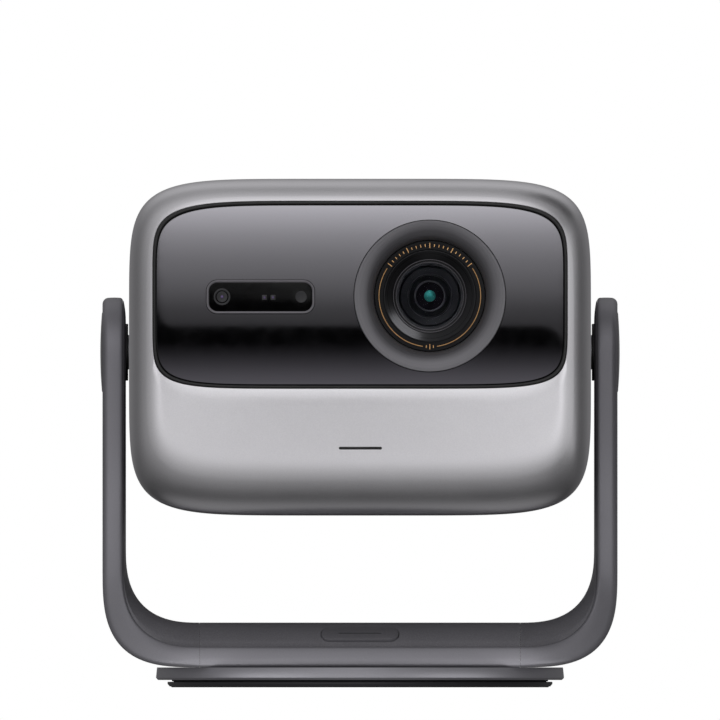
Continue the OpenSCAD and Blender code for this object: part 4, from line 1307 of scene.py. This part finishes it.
@dataclass
class Studio:
    """The pale floor, the white surround, the soft light and the camera."""

    level: float = 0.885

    def camera(self) -> None:
        """Sets a parallel camera straight in front of the object."""
        data = bpy.data.cameras.new("front_camera")
        data.type, data.ortho_scale = "ORTHO", 0.3341
        data.clip_start, data.clip_end = 0.01, 30
        camera = bpy.data.objects.new("front_camera", data)
        camera.location = (0, -1.5, 0.1519)
        camera.rotation_euler = (math.pi / 2, 0, 0)
        bpy.context.scene.collection.objects.link(camera)
        bpy.context.scene.camera = camera

    def world(self) -> None:
        """A soft studio all round: bright ahead, dim at the sides, lighter overhead."""
        world = bpy.data.worlds.new("studio")
        bpy.context.scene.world = world
        world.use_nodes = True
        tree = world.node_tree
        tree.nodes.clear()
        way = add_node(tree, "ShaderNodeTexCoord").outputs["Generated"]
        axes = add_node(tree, "ShaderNodeSeparateXYZ", None, {0: way})
        ahead = add_node(tree, "ShaderNodeMath", {1: -1.0}, {0: axes.outputs["Y"]},
                         operation="MULTIPLY")
        level = self._ramp(tree, axes.outputs["X"], ahead.outputs[0], [
            (-180, 0.25), (-140, 0.27), (-98, 0.15), (-79, 0.22), (-49, 0.5), (-30, 0.72),
            (-14, 1.25), (-5, 1.98), (4, 2.2), (11, 1.25), (20, 0.2), (34, 0.0), (52, 0.05),
            (70, 0.12), (87, 0.08), (134, 0.27), (180, 0.25)])
        over = self._ramp(tree, axes.outputs["Z"], ahead.outputs[0], [
            (-180, 1.5), (0, 1.8), (20, 1.5), (39, 1.05), (51, 0.8), (64, 0.46), (89, 0.42),
            (106, 0.85), (138, 0.9), (180, 0.28)])
        steep = add_node(tree, "ShaderNodeMath", {1: 2.0}, {0: axes.outputs["Z"]},
                         operation="POWER")
        mixed = add_node(tree, "ShaderNodeMix", None,
                         {"Factor": steep.outputs[0], 2: level, 3: over}, data_type="FLOAT")
        dip = add_node(tree, "ShaderNodeMapRange", {"From Min": -1.0, "From Max": 1.0},
                       {"Value": axes.outputs["Z"]})
        down = add_node(tree, "ShaderNodeValToRGB", None, {"Fac": dip.outputs["Result"]})
        set_stops(down.color_ramp, [((z + 1) / 2, (v, v, v, 1)) for z, v in (
            (-1.0, 0.22), (-0.94, 0.16), (-0.86, 0.03), (-0.75, 0.03), (-0.63, 0.1),
            (-0.41, 0.26), (-0.3, 0.34), (-0.17, 0.66), (0.0, 1.0))])
        shaded = add_node(tree, "ShaderNodeMath", None,
                          {0: mixed.outputs[0], 1: down.outputs["Color"]}, operation="MULTIPLY")
        # a small dark gap straight ahead, where the camera stands between the lights
        gap = add_node(tree, "ShaderNodeMapRange",
                       {"From Min": 0.9993, "From Max": 0.997, "To Min": 0.0, "To Max": 1.0},
                       {"Value": ahead.outputs[0]})
        cleared = add_node(tree, "ShaderNodeMath", None,
                           {0: shaded.outputs[0], 1: gap.outputs["Result"]}, operation="MULTIPLY")
        glow = add_node(tree, "ShaderNodeBackground", {"Color": (1.0, 0.995, 1.0, 1.0)},
                        {"Strength": add_node(tree, "ShaderNodeMath", {1: self.level},
                                              {0: cleared.outputs[0]},
                                              operation="MULTIPLY").outputs[0]})
        add_node(tree, "ShaderNodeOutputWorld", None, {"Surface": glow.outputs[0]})

    @staticmethod
    def _ramp(tree: bpy.types.NodeTree, across: bpy.types.NodeSocket,
              ahead: bpy.types.NodeSocket, stops: list[tuple[float, float]]
              ) -> bpy.types.NodeSocket:
        """Brightness by the angle away from straight ahead.

        Args:
            tree: The world's node tree.
            across: The direction's part along the axis that the angle turns towards.
            ahead: The direction's part straight ahead.
            stops: Angle in degrees and brightness.

        Returns:
            A socket with the brightness.
        """
        turn = add_node(tree, "ShaderNodeMath", None, {0: across, 1: ahead}, operation="ARCTAN2")
        share = add_node(tree, "ShaderNodeMapRange",
                         {"From Min": -math.pi, "From Max": math.pi}, {"Value": turn.outputs[0]})
        ramp = add_node(tree, "ShaderNodeValToRGB", None, {"Fac": share.outputs["Result"]})
        set_stops(ramp.color_ramp, [((a + 180) / 360, (v, v, v, 1)) for a, v in stops])
        return ramp.outputs["Color"]

    def plain(self, name: str, stops: list[tuple[float, float]] | None, low: float = 0,
              high: float = 1, tint: tuple[float, float, float] = (1, 1, 1),
              strength: float = 1.0) -> bpy.types.Material:
        """A light-giving surface, even or graded with height.

        Args:
            name: The material's name.
            stops: Share of the height and brightness, or None for an even one.
            low: Height of share 0, in metres.
            high: Height of share 1, in metres.
            tint: Its colour.
            strength: Brightness of an even one, or a factor on the stops.

        Returns:
            The material.
        """
        mat = bpy.data.materials.new(name)
        mat.use_nodes = True
        tree = mat.node_tree
        tree.nodes.clear()
        glow = add_node(tree, "ShaderNodeEmission",
                        {"Color": (*tint, 1.0), "Strength": strength})
        if stops:
            place = add_node(tree, "ShaderNodeTexCoord").outputs["Object"]
            axes = add_node(tree, "ShaderNodeSeparateXYZ", None, {0: place})
            share = add_node(tree, "ShaderNodeMapRange", {"From Min": low, "From Max": high},
                             {"Value": axes.outputs["Z"]})
            ramp = add_node(tree, "ShaderNodeValToRGB", None, {"Fac": share.outputs["Result"]})
            top = max(v for _, v in stops)
            set_stops(ramp.color_ramp, [(s, (v / top * tint[0], v / top * tint[1],
                                             v / top * tint[2], 1)) for s, v in stops])
            tree.links.new(ramp.outputs["Color"], glow.inputs["Color"])
            glow.inputs["Strength"].default_value = strength * top
        add_node(tree, "ShaderNodeOutputMaterial", None, {"Surface": glow.outputs[0]})
        return mat

    @staticmethod
    def sheet(name: str, corners: list[tuple[float, float, float]],
              material: bpy.types.Material) -> bpy.types.Object:
        """A flat stage sheet through its corners, in metres."""
        mesh = bpy.data.meshes.new(name)
        mesh.from_pydata([Vector(c) for c in corners], [], [list(range(len(corners)))])
        sheet = bpy.data.objects.new(name, mesh)
        bpy.context.scene.collection.objects.link(sheet)
        mesh.materials.append(material)
        return sheet

    def card(self, name: str, corners: list[tuple[float, float, float]],
             material: bpy.types.Material, seen_by: list[str]) -> None:
        """A reflector that only the named pieces see, and the camera doesn't.

        Args:
            name: The card's name.
            corners: Its outline, in metres.
            material: Its light-giving material.
            seen_by: Names of the pieces that mirror it.
        """
        card = self.sheet(name, corners, material)
        card.visible_camera = card.visible_diffuse = card.visible_shadow = False
        card.visible_transmission = card.visible_volume_scatter = False
        group = bpy.data.collections.new(name + "_sees")
        for piece in seen_by:
            group.objects.link(bpy.data.objects[piece])
        card.light_linking.receiver_collection = group

    def cards(self) -> None:
        """Hangs the softboxes that the window and the sensor cover mirror."""
        y = -0.7
        upper = [(-0.093, y, 0.24), (-0.0945, y, 0.19), (-0.094, y, 0.1775), (-0.0925, y, 0.1715),
                 (-0.0905, y, 0.1688), (-0.088, y, 0.1677), (0.084, y, 0.1677),
                 (0.088, y, 0.1670), (0.0915, y, 0.1648), (0.0935, y, 0.1618), (0.0948, y, 0.1585),
                 (0.098, y, 0.24)]
        self.card("upper_softbox", upper, self.plain(
            "softbox_upper", [(0.0, 0.72), (0.07, 0.88), (0.14, 1.06), (0.3, 2.1), (0.52, 3.4),
                              (0.61, 4.2), (0.73, 5.6), (0.87, 8.3), (1.0, 11.4)], 0.1677, 0.2257,
            (1.0, 0.975, 1.06)), ["window_glass"])
        lower = [(-0.1, y, 0.13), (-0.1, y, 0.1594), (0.1, y, 0.1594), (0.1, y, 0.13)]
        self.card("lower_softbox", lower, self.plain(
            "softbox_lower", [(0.0, 2.1), (0.3, 1.4), (0.55, 0.75), (0.8, 0.25), (1.0, 0.01)],
            0.139, 0.1594, (1.0, 0.955, 1.1)), ["window_glass"])
        strip = [(-0.0702, y, 0.1794), (-0.0222, y, 0.1794), (-0.0222, y, 0.1838),
                 (-0.0225, y, 0.1855), (-0.0235, y, 0.1870), (-0.0250, y, 0.1878),
                 (-0.0264, y, 0.188), (-0.0660, y, 0.188), (-0.0674, y, 0.1878),
                 (-0.0689, y, 0.1870), (-0.0699, y, 0.1855), (-0.0702, y, 0.1838)]
        self.card("sensor_softbox", strip, self.plain(
            "softbox_sensor", [(0.0, 0.62), (1.0, 1.1)], 0.1794, 0.19), ["sensor_cover"])

    def lamps(self) -> None:
        """A broad soft key at the right, and small fills that each light only the named pieces."""
        for name, place, aim, size, power, seen_by in (
                ("key_softbox", (0.75, -1.1, 0.17), (0.02, -0.1, 0.15), (1.2, 0.8), 2.2,
                 ["shell_front", "shell_rear", "lens_dish", "sensor_rim", "window_rubber",
                  "scale_dial", "accent_wire", "scale_marks", "base_lining"]),
                ("low_fill", (0.0, -0.26, -0.11), (0.0, -0.06, 0.012), (0.5, 0.08), 0.3,
                 ["base_bridge_cover", "left_arm_cover", "right_arm_cover"]),
                ("bridge_fill", (0.0, -0.22, 0.004), (0.0, -0.06, 0.012), (0.34, 0.02), 0.07,
                 ["base_bridge_cover", "left_arm_cover", "right_arm_cover"]),
                ("disc_fill", (0.0, -0.5, 0.0), (0.0, -0.06, 0.006), (0.8, 0.06), 0.4,
                 ["turntable_disc"]),
                ("disc_fill_left", (-0.5, -0.4, 0.0), (-0.06, -0.07, 0.006), (0.5, 0.06), 0.95,
                 ["turntable_disc"]),
                ("disc_fill_right", (0.5, -0.4, 0.0), (0.06, -0.07, 0.006), (0.5, 0.06), 0.95,
                 ["turntable_disc"]),
                ("dial_sheen", (0.14, -0.42, 0.29), (0.045, -0.095, 0.194), (0.12, 0.12), 0.16,
                 ["scale_dial", "accent_wire", "scale_marks"])):
            data = bpy.data.lights.new(name, "AREA")
            data.shape, data.size, data.size_y, data.energy = "RECTANGLE", *size, power
            lamp = bpy.data.objects.new(name, data)
            lamp.location = place
            lamp.rotation_euler = (Vector(aim) - Vector(place)).to_track_quat("-Z", "Y").to_euler()
            bpy.context.scene.collection.objects.link(lamp)
            group = bpy.data.collections.new(name + "_lights")
            for piece in seen_by:
                group.objects.link(bpy.data.objects[piece])
            lamp.light_linking.receiver_collection = group

    def cell_light(self) -> None:
        """Hangs a small softbox up at the right that only the lens cell, lips and sleeve mirror."""
        swing = math.radians(78)
        way = Vector((math.sin(swing) * 0.62, -math.cos(swing), math.sin(swing) * 0.78))
        middle = Vector((0.0324, -0.09, 0.1816)) + way
        across = Vector((-0.78, 0, 0.62))
        up = way.cross(across).normalized()
        corners = [tuple(middle + across * (sx * 0.42) + up * (sz * 0.25))
                   for sx, sz in ((-1, -1), (1, -1), (1, 1), (-1, 1))]
        self.card("cell_softbox", corners, self.plain("glow_cell", None, strength=6.0),
                  ["lens_cell", "lens_sleeve", "cell_lips"])

    def surround(self) -> None:
        """Lays the pale floor and puts a white dome round the studio for the camera."""
        floor_paint = bpy.data.materials.new("pale_studio_floor")
        floor_paint.use_nodes = True
        tree = floor_paint.node_tree
        tree.nodes.clear()
        place = add_node(tree, "ShaderNodeTexCoord").outputs["Object"]
        cloud = add_node(tree, "ShaderNodeTexNoise", {"Scale": 6.0, "Detail": 3.0},
                         {"Vector": place})
        tone = add_node(tree, "ShaderNodeMix", {6: linear("#ececee"), 7: linear("#f2f2f4")},
                        {"Factor": cloud.outputs["Fac"]}, data_type="RGBA")
        matt = add_node(tree, "ShaderNodeBsdfPrincipled", {"Roughness": 0.75},
                        {"Base Color": tone.outputs[2]})
        add_node(tree, "ShaderNodeOutputMaterial", None, {"Surface": matt.outputs["BSDF"]})
        floor = self.sheet("studio_floor", [(-9, -9, 0), (9, -9, 0), (9, 9, 0), (-9, 9, 0)],
                           floor_paint)
        floor.visible_glossy = floor.visible_diffuse = floor.visible_shadow = False
        Bench.clear()
        bpy.ops.mesh.primitive_uv_sphere_add(segments=48, ring_count=24, radius=8.5)
        dome = bpy.context.object
        dome.name = "studio_dome"
        dome.data.materials.append(self.plain("white_surround", None, strength=1.0))
        dome.visible_diffuse = dome.visible_glossy = dome.visible_shadow = False
        dome.visible_transmission = dome.visible_volume_scatter = False

    def build(self) -> None:
        """Sets up the whole studio; the pieces that mirror the cards are there already."""
        bpy.context.scene.view_settings.view_transform = "Standard"
        self.camera()
        self.world()
        self.surround()
        self.lamps()
        self.cards()
        self.cell_light()


def dress_nodes() -> None:
    """Gives every CAD node the finish of its material slot."""
    for name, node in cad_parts.items():
        for spot in node.material_slots:
            label = spot.material.name if spot.material else ""
            finish = SLOTS.get(label.split(".")[0])
            if finish:
                spot.material = finish.material()
            else:
                LOG.info("no finish for %s on %s", label, name)


def main() -> None:
    """Builds the sub-assemblies in order and sets up the studio."""
    logging.basicConfig(level=logging.INFO, format="%(name)s %(message)s")
    head = Head()
    head.build()
    Window(head).build()
    Lens().build()
    Stand().build()
    PowerButton().build()
    Ports().build()
    dress_nodes()
    Bench.clear()
    Studio().build()


if __name__ == "__main__":
    main()
